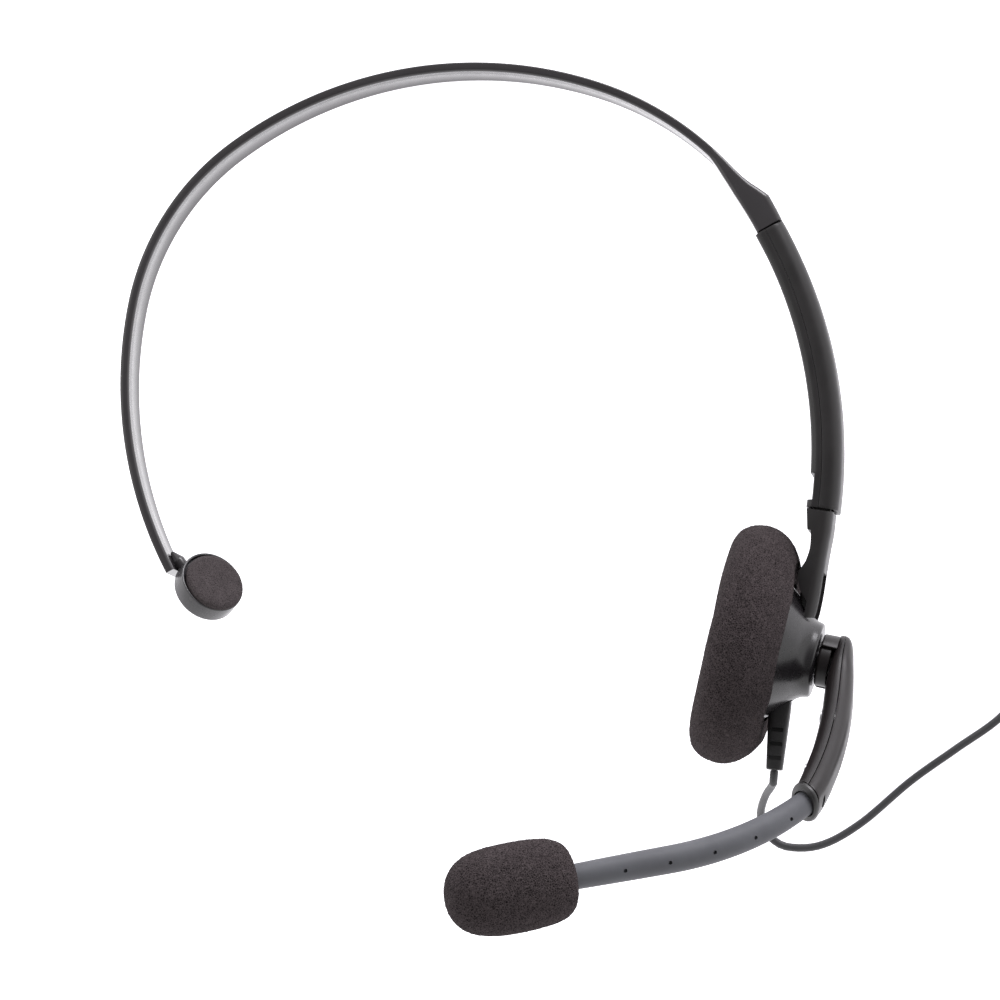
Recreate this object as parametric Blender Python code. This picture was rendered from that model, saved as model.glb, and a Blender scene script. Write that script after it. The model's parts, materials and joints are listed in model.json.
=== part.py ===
"""Office headset: one ear cup, a swinging microphone boom, a sliding headband and a temple pad.

The shapes are written in millimetres in a design frame that lies in the headband's own plane:
X points to the ear cup's side, Y to the crown of the head and Z to the wearer's face. The empty
"layout" then lays that frame down on the surface z = 0, where the headset rests on its side.
"""
from math import cos, pi, radians, sin

import bmesh
import bpy
from mathutils import Matrix, Vector

MM = 0.001
GAP = 0.3                      # clearance between pieces that touch

# ---- how the headset lies on the surface ---------------------------------------------------
LIE_ANGLE = 8.9                # tilt of the headband's plane, degrees
LIE_TOWARDS = 91.5             # direction in which that plane slopes down, degrees from X

# ---- headband ------------------------------------------------------------------------------
STRIP_THICK = 2.2
STRIP_HALF_WIDTH = 6.25
BAND_ARCS = ((79.5, 41.6), (100.7, 55.0), (63.2, 43.8), (102.3, 38.9))   # outer radius, degrees
BAND_HEADING = 118.8           # direction of travel where the first arc starts, degrees
BAND_START = (73.3, 45.8)      # outer face at that place
BLOCK_END = 17.2               # degrees of the first arc that the thick end block takes

# ---- adjusting sleeve, an arc about its own centre -------------------------------------------
SLEEVE_CENTRE = (-26.6, -8.4)
SLEEVE_INNER, SLEEVE_SEAM, SLEEVE_OUTER = 108.0, 111.0, 115.8
SLEEVE_HALF_WIDTH = 7.0
SLEEVE_LOW, SLEEVE_HIGH = -7.9, 28.5      # degrees
TONGUE_LOW = 20.5                         # how far the headband's tongue reaches in
SLIDER_HIGH = 19.0                        # upper end of the slider when the band is closed
SLIDER_HALF_WIDTH = 3.8
NOTCH_PITCH, NOTCH_DEPTH, NOTCHES = 2.0, 0.5, 10
SLIDER_RADIUS = 111.9
SLIDER_LOW = SLEEVE_LOW - 3.6
RIVET_ANGLE = -10.2
SCREW_ANGLES = (23.4, 27.0)               # the two sleeve screws

# ---- ear cup, turned about its own axis ------------------------------------------------------
CUP_CENTRE = (64.5, -56.0, 0.0)
CUP_TILT = -13.0               # the cup's axis against X, degrees
CUSHION_RADIUS, CUSHION_HALF_THICK = 28.75, 8.75
DRUM_RADIUS = 24.0
HUB_RADIUS, HUB_FACE = 9.1, 18.4
TILT_PIN = (13.2, 16.0)        # axial and upward place of the cup's tilt hinge
TILT_PIN_RADIUS = 1.1
LUG_HALF_WIDTH = 4.7
ARM_OUTLINE = ((80.6, -23.7), (87.0, -24.6), (86.5, -29.0), (85.6, -33.5), (84.7, -38.5), (83.9, -43.5),
               (83.2, -48.0), (82.6, -50.9), (81.9, -50.2), (80.9, -48.1), (79.9, -46.1), (79.0, -44.4),
               (78.6, -42.4), (78.4, -39.8), (79.2, -38.1), (80.3, -36.4), (81.2, -33.8), (81.5, -31.5),
               (81.5, -29.3), (80.7, -28.8))
ARM_FORK_TOP = -39.2           # the fork that takes the cup's lug is open below this
SHAFT_RADIUS = 3.2

# ---- boom ----------------------------------------------------------------------------------
BOOM_SWING = 48.0              # how far the boom is swung forward from straight down, degrees
BOOM_START = (25.7, 53.6)      # axial and radial place where the flexible part starts
BOOM_HEADING_START, BOOM_HEADING_END = 64.0, 34.0
BOOM_BEND_RADIUS = 74.0
LINK_ENDS = (-4.3, 12.4, 23.3, 34.2, 45.1, 65.0)     # along the flexible part
LINK_GAP = 0.8
CORE_RADIUS = 0.9
WINDSCREEN_FROM, WINDSCREEN_TO, WINDSCREEN_RADIUS = 63.0, 92.6, 10.5

# outer and inner edge of the rigid boom arm in the boom's plane (axial, radial), and its half width
BOOM_ARM = (((24.0, -6.9), (22.2, -6.9), 3.0), ((25.4, -5.4), (22.0, -5.4), 5.2),
            ((26.6, -2.2), (22.0, -2.2), 6.9), ((27.9, 3.5), (22.0, 4.5), 7.1),
            ((29.2, 9.5), (22.3, 10.0), 6.3), ((30.4, 17.0), (23.1, 17.0), 5.6),
            ((31.3, 26.0), (23.8, 25.5), 5.3), ((31.6, 35.0), (24.1, 34.0), 5.1),
            ((31.3, 43.0), (23.9, 41.0), 5.0), ((30.7, 49.0), (23.6, 45.6), 5.0),
            ((29.7, 54.0), (23.3, 49.6), 4.9))
ARM_SEAM = 0.45                # share of the arm's thickness below the seam
ARM_SCREWS = (20.5, 41.0)      # radial places of the two screws
HOOD_FROM = 74                 # the hood round the pivot disc starts this far from the arm, degrees

# ---- temple pad ----------------------------------------------------------------------------
PAD_CENTRE = (-68.8, -42.4)    # on the swivel axis, under the pad's middle
PAD_AXIS_HEADING = 307.0       # direction of the swivel axis, degrees
PAD_TURN = 44.8                # how far the pad is turned to the wearer's front, degrees
PAD_RADIUS, PAD_BACK, PAD_RIM, PAD_FACE = 8.05, 2.2, 6.0, 7.4

# ---- strain relief, cord and plug ------------------------------------------------------------
RELIEF_TOP, RELIEF_BOTTOM = (12.1, -13.6), (14.0, -28.0)
CORD_RADIUS = 1.0
COIL_CENTRE, COIL_MIDDLE_RADIUS, COIL_SIDE = (148.0, -56.0), 11.0, 8.0
TIE_WIDTH, TIE_THICK = 3.0, 0.8
PLUG_RADIUS, PLUG_FROM_COIL = 3.5, 9.3
# the cord drops from the strain relief to the surface and runs to the coil: x, y, z there
CORD_ROUTE = ((69.6, -76.3, 26.8), (68.5, -78.0, 21.5), (67.2, -79.8, 16.5), (66.0, -82.1, 11.8),
              (65.1, -84.4, 7.5), (64.6, -86.8, 4.0), (64.9, -89.3, 1.8), (66.0, -91.7, 1.1),
              (70.5, -94.8, 1.0), (79.2, -94.5, 1.0), (89.2, -89.1, 1.0), (101.7, -78.7, 1.0),
              (113.0, -70.8, 1.0), (124.1, -63.0, 1.0), (132.0, -53.4, 1.1))


# ============================ small tools =====================================================
def polar(angle, radius=1.0, centre=(0.0, 0.0)):
    """A point at an angle in degrees."""
    return Vector((centre[0] + radius * cos(radians(angle)), centre[1] + radius * sin(radians(angle))))


def empty(name, parent=None, location=(0, 0, 0), rotation=None):
    """A placing frame; its location is in millimetres."""
    frame = bpy.data.objects.new(name, None)
    bpy.context.collection.objects.link(frame)
    frame.parent = parent
    frame.location = Vector(location) * MM
    if rotation is not None:
        frame.rotation_euler = rotation.to_euler()
    return frame


def material(name, colour, roughness, metallic=0.0):
    """A plain Principled material."""
    made = bpy.data.materials.new(name)
    made.use_nodes = True
    shader = made.node_tree.nodes["Principled BSDF"]
    shader.inputs["Base Color"].default_value = (*colour, 1.0)
    shader.inputs["Roughness"].default_value = roughness
    shader.inputs["Metallic"].default_value = metallic
    return made


def place(name, bm, look, parent=None, origin=(0, 0, 0)):
    """Turns a bmesh in millimetres into a named object; origin is where its parent frame stands."""
    bmesh.ops.recalc_face_normals(bm, faces=bm.faces)
    bmesh.ops.translate(bm, vec=-Vector(origin), verts=bm.verts)
    bmesh.ops.scale(bm, vec=(MM, MM, MM), verts=bm.verts)
    mesh = bpy.data.meshes.new(name)
    bm.to_mesh(mesh)
    bm.free()
    mesh.shade_smooth()
    mesh.set_sharp_from_angle(angle=radians(35))
    made = bpy.data.objects.new(name, mesh)
    bpy.context.collection.objects.link(made)
    made.parent = parent
    if look is not None:
        mesh.materials.append(look)
    return made


def combine(target, tool, operation):
    """A live Boolean with a hidden tool object."""
    tool.hide_render = True
    tool.display_type = "WIRE"
    step = target.modifiers.new(operation.title(), "BOOLEAN")
    step.operation = operation
    step.solver = "EXACT"
    step.object = tool


def cut(target, bm, origin=(0, 0, 0)):
    """Takes a shape away from an object that shares its frame."""
    combine(target, place(target.name + "_cutter", bm, None, target.parent, origin), "DIFFERENCE")


def add(target, bm, origin=(0, 0, 0)):
    """Joins a shape to an object that shares its frame."""
    combine(target, place(target.name + "_addition", bm, None, target.parent, origin), "UNION")


def lathe(profile, segments=40, bm=None, turn=None):
    """Turns a profile of (x, radius) about X. A profile on the axis closes itself; others are rings."""
    bm = bm or bmesh.new()
    turn = turn or Matrix.Identity(4)
    rings = []
    for x, radius in profile:
        if radius == 0:
            rings.append([bm.verts.new(turn @ Vector((x, 0, 0)))])
            continue
        angles = [2 * pi * k / segments for k in range(segments)]
        rings.append([bm.verts.new(turn @ Vector((x, radius * cos(a), radius * sin(a)))) for a in angles])
    pairs = list(zip(rings, rings[1:]))
    if profile[0][1] > 0:
        pairs.append((rings[-1], rings[0]))
    for one, two in pairs:
        for k in range(segments):
            n = k + 1
            ring = (one[k % len(one)], one[n % len(one)], two[n % len(two)], two[k % len(two)])
            corners = list(dict.fromkeys(ring))
            if len(corners) > 2:
                bm.faces.new(corners)
    return bm


def loft(sections, bm=None):
    """One closed solid through loops with the same number of points."""
    bm = bm or bmesh.new()
    rings = [[bm.verts.new(point) for point in section] for section in sections]
    count = len(rings[0])
    for one, two in zip(rings, rings[1:]):
        for k in range(count):
            n = (k + 1) % count
            bm.faces.new((one[k], one[n], two[n], two[k]))
    bm.faces.new(rings[0])
    bm.faces.new(rings[-1][::-1])
    return bm


def aim(start, axis):
    """A matrix that moves the X axis to a start point and turns it along a direction."""
    return Matrix.Translation(Vector(start)) @ Vector(axis).to_track_quat("X", "Z").to_matrix().to_4x4()


def cylinder(start, axis, radius, length, segments=16, bm=None):
    """A round bar that starts at a point and runs along an axis."""
    return lathe([(0, 0), (0, radius), (length, radius), (length, 0)], segments, bm, aim(start, axis))


def chamfered(half_u, half_v, chamfer):
    """Corner points of a rectangle with cut corners."""
    u, v, c = half_u, half_v, chamfer
    return [(u, -v + c), (u, v - c), (u - c, v), (-u + c, v), (-u, v - c), (-u, -v + c),
            (-u + c, -v), (u - c, -v)]


def signed_power(value, power):
    """A power that keeps the sign."""
    return (1 if value > 0 else -1) * abs(value) ** power


def oval(half_u, half_v, points=12, power=0.8):
    """Points of an oval that a power below one makes squarer."""
    turns = [2 * pi * k / points for k in range(points)]
    return [(half_u * signed_power(cos(t), power), half_v * signed_power(sin(t), power)) for t in turns]


def box(low, high, bm=None):
    """An axis-aligned block."""
    (x0, y0, z0), (x1, y1, z1) = low, high
    lower = [(x0, y0, z0), (x1, y0, z0), (x1, y1, z0), (x0, y1, z0)]
    return loft([lower, [(x, y, z1) for x, y, _ in lower]], bm)


def prism(outline, z0, z1, bm=None):
    """An outline in X and Y carried from z0 to z1."""
    return loft([[(x, y, z0) for x, y in outline], [(x, y, z1) for x, y in outline]], bm)


# ============================ headband ========================================================
def band_station(travel):
    """Outer face and heading after some degrees of turning along the band's tangent arcs."""
    heading = BAND_HEADING
    point = Vector(BAND_START)
    for radius, sweep in BAND_ARCS:
        centre = point + polar(heading + 90, radius)
        turned = min(travel, sweep)
        point = centre + polar(heading - 90 + turned, radius)
        heading += turned
        travel -= turned
        if travel <= 0:
            break
    return point, heading


def band_section(outer, inward, thick, half_width, chamfer=0.5):
    """A chamfered cross-section from an outer point inwards."""
    middle = outer + inward * (thick / 2)
    return [(middle.x - inward.x * u, middle.y - inward.y * u, v)
            for u, v in chamfered(thick / 2, half_width, chamfer)]


def block_profile(travel):
    """How much the end block stands proud of the strip, outside and inside, and its half width."""
    stages = ((0.0, 2.1, 2.5, 6.9), (5.0, 2.6, 2.2, 6.9), (8.6, 1.2, 1.9, 6.8), (12.3, 0.1, 1.2, 6.6),
              (15.0, 0.0, 0.5, 6.4), (BLOCK_END, 0.0, 0.0, STRIP_HALF_WIDTH))
    for low, high in zip(stages, stages[1:]):
        if travel <= high[0]:
            share = (travel - low[0]) / (high[0] - low[0])
            return [a + (b - a) * share for a, b in zip(low[1:], high[1:])]
    return [0.0, 0.0, STRIP_HALF_WIDTH]


def headband_strip(look, frame):
    """The springy strip, its thick end block and the tongue that the sleeve holds."""
    sections = []
    steps = 4
    for k in range(steps + 1):
        angle = TONGUE_LOW + (SLEEVE_HIGH + 0.15 - TONGUE_LOW) * k / steps
        outer = polar(angle, SLEEVE_OUTER - 1.8, SLEEVE_CENTRE)
        sections.append(band_section(outer, -polar(angle), 4.2, 5.2))
    total = sum(sweep for _, sweep in BAND_ARCS)
    travels = [0.35, 2.6, 5.0, 6.2, 8.6, 10.5, 12.3, 15.0, BLOCK_END]
    stations = 62
    travels += [BLOCK_END + (total - BLOCK_END) * k / stations for k in range(1, stations + 1)]
    for travel in travels:
        outer, heading = band_station(travel)
        outward, proud_in, half_width = block_profile(travel)
        inward = polar(heading + 90)
        thick = outward + STRIP_THICK + proud_in
        sections.append(band_section(outer - inward * outward, inward, thick, half_width))
    origin = (*SLEEVE_CENTRE, 0)
    strip = place("headband_strip", loft(sections), look, frame, origin)
    axis = (*polar(PAD_AXIS_HEADING), 0)
    knuckle = pad_axis_point(-12.9)
    add(strip, cylinder((*knuckle, 0), axis, 1.9, 4.5, 20), origin)
    holes = cylinder((*pad_axis_point(-12.4), 0), axis, 0.8, 5.0, 12)
    for angle in SCREW_ANGLES:
        start = polar(angle, SLEEVE_INNER + 0.9, SLEEVE_CENTRE)
        cylinder((*start, 0), (*polar(angle), 0), 1.0, 7.0, 12, holes)
    cut(strip, holes, origin)


def pad_axis_point(distance):
    """A point along the temple pad's swivel axis, from under the pad's middle."""
    return Vector(PAD_CENTRE) + polar(PAD_AXIS_HEADING, distance)


# ============================ sleeve and slider ===============================================
def sleeve_sweep(low, high, section, steps):
    """Carries a cross-section of (radius, z) along the sleeve's arc; the frame is the arc's centre."""
    loops = []
    for k in range(steps + 1):
        angle = low + (high - low) * k / steps
        loops.append([(*polar(angle, r), z) for r, z in section])
    return loft(loops)


def channel(floor, lip, half_width, wall, chamfer):
    """A U-shaped cross-section whose floor is at one radius and whose open lips are at another."""
    side = 1 if floor > lip else -1
    inner = floor - side * wall
    z, c = half_width, chamfer
    return [(lip, -z), (floor - side * c, -z), (floor, -z + c), (floor, z - c), (floor - side * c, z),
            (lip, z), (lip, z - wall), (inner, z - wall), (inner, -z + wall), (lip, -z + wall)]


def sleeve(looks, frame):
    """Two half shells screwed together round the slider."""
    low, high, width = SLEEVE_LOW, SLEEVE_HIGH, SLEEVE_HALF_WIDTH
    outer = channel(SLEEVE_OUTER, SLEEVE_SEAM + GAP / 2, width, 1.4, 1.3)
    inner = channel(SLEEVE_INNER, SLEEVE_SEAM - GAP / 2, width, 1.4, 1.2)
    place("sleeve_outer", sleeve_sweep(low, high, outer, 18), looks["gloss"], frame)
    cover = place("sleeve_inner", sleeve_sweep(low, high, inner, 18), looks["gloss"], frame)
    holes = bmesh.new()
    for angle in SCREW_ANGLES:
        direction = (*polar(angle), 0)
        cylinder((*polar(angle, SLEEVE_INNER + 0.4), 0), direction, 1.0, 3.0, 12, holes)
    cut(cover, holes)
    heads = bmesh.new()
    for angle in SCREW_ANGLES:
        cylinder((*polar(angle, SLEEVE_INNER - 1.0), 0), (*polar(angle), 0), 1.9, 1.8, 16, heads)
    cut(cover, heads)


def sleeve_screws(look, frame):
    """Two screws through the inner cover and the headband's tongue."""
    profile = [(0, 0), (0, 1.6), (0.45, 1.6), (0.45, 0.75), (4.6, 0.75), (4.6, 0)]
    for number, angle in enumerate(SCREW_ANGLES, 1):
        start = (*polar(angle, SLEEVE_INNER + 0.25), 0)
        turned = lathe(profile, 16, None, aim(start, (*polar(angle), 0)))
        place("sleeve_screw_%d" % number, turned, look, frame)


def slider_half_width(angle):
    """The notched edge of the slider."""
    travel = (SLIDER_HIGH - 3.0 - angle) / NOTCH_PITCH
    in_row = 0 <= travel <= NOTCHES
    near = abs(travel - round(travel)) < 0.22
    return SLIDER_HALF_WIDTH - (NOTCH_DEPTH if in_row and near else 0.0)


def slider_strip(look, frame):
    """The curved steel slider: it is fixed in the ear arm and slides in the sleeve."""
    steps = 110
    r0, r1 = SLIDER_RADIUS - 0.6, SLIDER_RADIUS + 0.6
    loops = []
    for k in range(steps + 1):
        angle = SLIDER_LOW + (SLIDER_HIGH - SLIDER_LOW) * k / steps
        edge = slider_half_width(angle)
        corners = ((r0, -SLIDER_HALF_WIDTH), (r1, -SLIDER_HALF_WIDTH), (r1, edge), (r0, edge))
        loops.append([(*polar(angle, r), z) for r, z in corners])
    strip = place("slider_strip", loft(loops), look, frame)
    direction = (*polar(RIVET_ANGLE), 0)
    cut(strip, cylinder((*polar(RIVET_ANGLE, 108), 0), direction, 1.1, 8, 16))


def detent_spring(look, frame):
    """A leaf spring beside the slider, bowed towards its notches."""
    loops = []
    steps = 16
    low, high = SLEEVE_LOW + 1.2, SLEEVE_LOW + 9.2
    for k in range(steps + 1):
        share = k / steps
        angle = low + (high - low) * share
        bow = 4.95 - 0.75 * sin(pi * share) ** 2
        corners = ((110.6, bow), (113.2, bow), (113.2, bow + 0.3), (110.6, bow + 0.3))
        loops.append([(*polar(angle, r), z) for r, z in corners])
    place("detent_spring", loft(loops), look, frame)


# ============================ ear arm =========================================================
def cup_point(axial, up):
    """A place in the cup's own frame, seen from the design frame."""
    return Vector(CUP_CENTRE[:2]) + polar(CUP_TILT, axial) + polar(CUP_TILT + 90, up)


def ear_arm(looks, frame, sleeve_frame):
    """The hollow arm between the slider and the cup, its rivet and the tilt pin."""
    pin = (*cup_point(*TILT_PIN), 0)
    half = SLEEVE_HALF_WIDTH
    arm = place("ear_arm", prism(ARM_OUTLINE, -half, half), looks["gloss"], frame, pin)
    edges = arm.modifiers.new("Edges", "BEVEL")
    edges.width = 0.7 * MM
    edges.segments = 2
    edges.limit_method = "ANGLE"
    edges.angle_limit = radians(45)
    fork = LUG_HALF_WIDTH + GAP
    cut(arm, box((70, -56, -fork), (95, ARM_FORK_TOP, fork)), pin)
    cut(arm, cylinder((pin[0], pin[1], -9), (0, 0, 1), TILT_PIN_RADIUS + 0.07, 18, 20), pin)
    slot = [(SLIDER_RADIUS - 0.9, -SLIDER_HALF_WIDTH - GAP), (SLIDER_RADIUS + 0.9, -SLIDER_HALF_WIDTH - GAP),
            (SLIDER_RADIUS + 0.9, SLIDER_HALF_WIDTH + GAP), (SLIDER_RADIUS - 0.9, SLIDER_HALF_WIDTH + GAP)]
    slot_shape = sleeve_sweep(SLIDER_LOW - 0.2, SLEEVE_LOW + 1.0, slot, 5)
    back = [c - p for c, p in zip((*SLEEVE_CENTRE, 0), pin)]
    cut(arm, slot_shape, [-b for b in back])
    direction = (*polar(RIVET_ANGLE), 0)
    start = (*polar(RIVET_ANGLE, 105.0), 0)
    cut(arm, cylinder(start, direction, 1.1, 14, 16), [-b for b in back])
    rivet_start = (*polar(RIVET_ANGLE, SLEEVE_INNER + 1.6), 0)
    place("slider_rivet", cylinder(rivet_start, direction, 0.85, 5.0, 16), looks["steel"], sleeve_frame)
    length = 2 * half - 1.0
    bar = cylinder((0, 0, -length / 2), (0, 0, 1), TILT_PIN_RADIUS, length, 20)
    place("tilt_pin", bar, looks["steel"], frame)


# ============================ temple pad ======================================================
def temple_pad(looks, frame):
    """A foam disc in a round holder that swivels on a pin; X is the way the pad faces."""
    holder = place("temple_pad_holder", lathe(
        [(PAD_BACK, 0), (PAD_BACK, 7.4), (PAD_BACK + 0.65, PAD_RADIUS), (PAD_RIM - 0.25, PAD_RADIUS),
         (PAD_RIM, PAD_RADIUS - 0.25), (PAD_RIM, 7.6), (PAD_RIM - 1.2, 7.6), (PAD_RIM - 1.2, 0)], 40),
        looks["gloss"], frame)
    add(holder, cylinder((0, -7.9, 0), (0, 1, 0), 2.5, 12.0, 24))
    cut(holder, cylinder((0, -9.0, 0), (0, 1, 0), 0.78, 11.8, 16))
    place("temple_pad_foam", lathe(
        [(PAD_RIM - 0.9, 0), (PAD_RIM - 0.9, 7.3), (PAD_FACE - 0.7, 7.4), (PAD_FACE, 6.7),
         (PAD_FACE, 0)], 36),
        looks["foam"], frame)


def pad_pivot_pin(look, frame):
    """The pin in the strip's end that the pad swivels on; Y runs along it."""
    place("pad_pivot_pin", cylinder((0, -12.2, 0), (0, 1, 0), 0.7, 14.6, 16), look, frame)


# ============================ ear cup =========================================================
def ear_cup(looks, frame):
    """The cup's shell with its hinge lug, and what it holds. X is the cup's axis, outwards."""
    outer = [(2.4, DRUM_RADIUS), (7.7, DRUM_RADIUS), (8.1, 23.6), (8.1, 16.8), (9.7, 15.6), (11.6, 13.8),
             (13.4, 12.0), (14.8, 10.5), (16.2, 9.5), (18.0, HUB_RADIUS), (HUB_FACE, HUB_RADIUS - 0.4),
             (HUB_FACE, SHAFT_RADIUS + 0.1)]
    inner = [(16.9, SHAFT_RADIUS + 0.1), (16.9, 7.6), (15.4, 8.4), (13.6, 9.6), (11.8, 11.6), (9.9, 13.6),
             (8.6, 14.6), (6.6, 15.4), (6.6, 22.6), (2.4, 22.6)]
    shell = place("cup_back_shell", lathe(outer + inner, 56), looks["gloss"], frame)
    pin_x, pin_y = TILT_PIN
    arc = [(pin_x + 2.9 * cos(radians(t)), pin_y + 2.9 * sin(radians(t))) for t in range(0, 200, 20)]
    lug = prism([(15.1, 8.95)] + arc + [(11.3, 12.9)], -LUG_HALF_WIDTH, LUG_HALF_WIDTH)
    add(shell, lug)
    bosses = bmesh.new()
    for y, z in boss_places():
        cylinder((4.9, y, z), (1, 0, 0), 2.0, 2.2, 16, bosses)
    add(shell, bosses)
    cut(shell, cylinder((pin_x, pin_y, -8), (0, 0, 1), TILT_PIN_RADIUS + 0.07, 16, 20))
    threads = bmesh.new()
    for y, z in boss_places():
        cylinder((4.0, y, z), (1, 0, 0), 0.9, 3.3, 12, threads)
    cut(shell, threads)
    cut(shell, relief_shape(-5.0, 4.5, 0.3))
    baffle(looks, frame)
    driver(looks, frame)
    for number, (y, z) in enumerate(boss_places(), 1):
        turn = Matrix.Translation((2.3, y, z))
        screw = lathe([(0, 0), (0, 1.4), (0.6, 1.4), (0.6, 0.65), (4.6, 0.65), (4.6, 0)], 14, None, turn)
        place("cup_screw_%d" % number, screw, looks["steel"], frame)
    board = prism([(12.3, -4.6), (13.1, -4.6), (13.1, 4.6), (12.3, 4.6)], -3.8, 3.8)
    place("terminal_board", board, looks["board"], frame)
    place("ear_cushion", lathe(
        [(-CUSHION_HALF_THICK, 0), (-CUSHION_HALF_THICK, 20.5), (-8.2, 24.3), (-6.2, 26.9), (-3.2, 28.4),
         (0, CUSHION_RADIUS), (3.2, 28.4), (6.2, 26.7), (8.1, 24.2), (9.1, 21.0), (9.3, 17.6),
         (8.9, 17.1), (8.4, 17.3), (8.4, 24.3), (2.0, 24.3), (2.0, 0)], 56), looks["foam"], frame)


def boss_places():
    """Where the three cup screws stand, as Y and Z."""
    return [tuple(polar(angle, 19.2)) for angle in (60, 180, 300)]


def baffle(looks, frame):
    """The perforated plate between the driver and the cushion."""
    disc = lathe([(3.2, 0), (3.2, 22.3), (4.5, 22.3), (4.5, 0)], 48)
    plate = place("baffle_plate", disc, looks["satin"], frame)
    holes = bmesh.new()
    cylinder((2.0, 0, 0), (1, 0, 0), 2.0, 4.0, 16, holes)
    for angle in range(0, 360, 45):
        cylinder((2.0, *polar(angle, 7.5)), (1, 0, 0), 1.7, 4.0, 12, holes)
    for y, z in boss_places():
        cylinder((2.0, y, z), (1, 0, 0), 0.95, 4.0, 12, holes)
    cut(plate, holes)


def driver(looks, frame):
    """The speaker: basket, diaphragm and magnet."""
    basket = [(4.8, 15.0), (5.9, 15.0), (8.5, 9.8), (9.2, 9.8), (9.2, 7.3), (8.2, 7.3), (8.0, 9.0),
              (5.4, 13.7), (4.8, 13.7)]
    place("driver_basket", lathe(basket, 36), looks["satin"], frame)
    cone = [(4.9, 0), (4.9, 4.0), (5.3, 8.0), (4.9, 13.3), (5.1, 13.3), (5.55, 8.0), (5.15, 4.0), (5.15, 0)]
    place("driver_diaphragm", lathe(cone, 32), looks["film"], frame)
    magnet = [(6.3, 0), (6.3, 6.4), (6.9, 6.9), (11.2, 6.9), (11.2, 0)]
    place("driver_magnet", lathe(magnet, 32), looks["steel"], frame)


def relief_shape(low, high, margin=0.0, bm=None):
    """The tapered strain relief between two distances from where it leaves the cup."""
    top, bottom = Vector(RELIEF_TOP), Vector(RELIEF_BOTTOM)
    length = (bottom - top).length
    along = (bottom - top) / length
    across = Vector((-along.y, along.x))
    sections = []
    for distance in (low, high):
        share = max(distance, 0.0) / length
        half_x, half_z = 2.7 - 0.7 * share + margin, 2.6 - 0.6 * share + margin
        centre = top + along * distance
        sections.append([(*(centre + across * u), v) for u, v in oval(half_x, half_z, 12, 0.6)])
    return loft(sections, bm)


def strain_relief(look, frame):
    """A ribbed rubber sleeve that guides the cord out of the cup."""
    top, bottom = Vector(RELIEF_TOP), Vector(RELIEF_BOTTOM)
    length = (bottom - top).length
    along = (bottom - top) / length
    across = Vector((-along.y, along.x))
    relief = place("strain_relief", relief_shape(-2.4, length), look, frame)
    slots = bmesh.new()
    for distance in (4.9, 8.3, 11.7):
        centre = top + along * distance
        for side in (-1, 1):
            corners = [centre + across * u + along * v
                       for u, v in ((-1.5, -0.5), (1.5, -0.5), (1.5, 0.5), (-1.5, 0.5))]
            prism(corners, min(side * 1.6, side * 4.0), max(side * 1.6, side * 4.0), slots)
    cut(relief, slots)


# ============================ boom ============================================================
def flex_point(s):
    """Centre and heading of the flexible boom at a distance along it, in the boom's frame."""
    bend = radians(BOOM_HEADING_START - BOOM_HEADING_END)
    arc_length = BOOM_BEND_RADIUS * bend
    turned = min(max(s, 0.0), arc_length) / BOOM_BEND_RADIUS
    h0 = radians(BOOM_HEADING_START)
    h1 = h0 - turned
    rest = s - turned * BOOM_BEND_RADIUS
    axial = BOOM_START[0] - BOOM_BEND_RADIUS * (sin(h0) - sin(h1)) - rest * cos(h1)
    radial = BOOM_START[1] + BOOM_BEND_RADIUS * (cos(h1) - cos(h0)) + rest * sin(h1)
    return Vector((axial, radial, 0)), Vector((-cos(h1), sin(h1), 0))


def link_radius(s):
    """The flexible boom is a little thicker along its middle."""
    end = LINK_ENDS[-1]
    return 2.85 + 0.4 * sin(pi * min(max(s / end, 0.0), 1.0)) ** 0.7


def tube(low, high, outer, inner, steps, segments):
    """A piece of the flexible boom: a pipe, or a solid bar where inner is None."""
    bm = bmesh.new()
    stations = [low + (high - low) * k / steps for k in range(steps + 1)]
    shells = []
    for radius in (outer, inner):
        if radius is None:
            continue
        rings = []
        for s in stations:
            centre, along = flex_point(s)
            side = Vector((along.y, -along.x, 0))
            r = radius(s)
            circle = [polar(360 * k / segments, r) for k in range(segments)]
            rings.append([bm.verts.new(centre + side * u + Vector((0, 0, v))) for u, v in circle])
        shells.append(rings)
        for one, two in zip(rings, rings[1:]):
            for k in range(segments):
                n = (k + 1) % segments
                bm.faces.new((one[k], one[n], two[n], two[k]))
    for end in (0, -1):
        if inner is None:
            bm.faces.new(shells[0][end])
            continue
        for k in range(segments):
            n = (k + 1) % segments
            bm.faces.new((shells[0][end][k], shells[0][end][n], shells[1][end][n], shells[1][end][k]))
    return bm


def boom_links(looks, frame):
    """The flexible boom: five rubber links on a bendable core, hinged at their meeting planes."""
    names = []
    for number in range(1, len(LINK_ENDS)):
        low, high = LINK_ENDS[number - 1], LINK_ENDS[number]
        first, last = number == 1, number == len(LINK_ENDS) - 1
        link_frame, origin = frame, (0, 0, 0)
        if not first:
            origin = flex_point(low)[0]
            link_frame = empty("flex_frame_%d" % (number - 1), frame, origin)
        start = low if first else low + LINK_GAP / 2
        stop = high if last else high - LINK_GAP / 2
        place("boom_link_%d" % number, tube(start, stop, link_radius, lambda s: CORE_RADIUS + GAP, 5, 18),
              looks["rubber"], link_frame, origin)
        place("boom_core_%d" % number, tube(start, stop, lambda s: CORE_RADIUS, None, 4, 8),
              looks["steel"], link_frame, origin)
        names.append((link_frame, origin))
    return names[-1]


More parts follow.
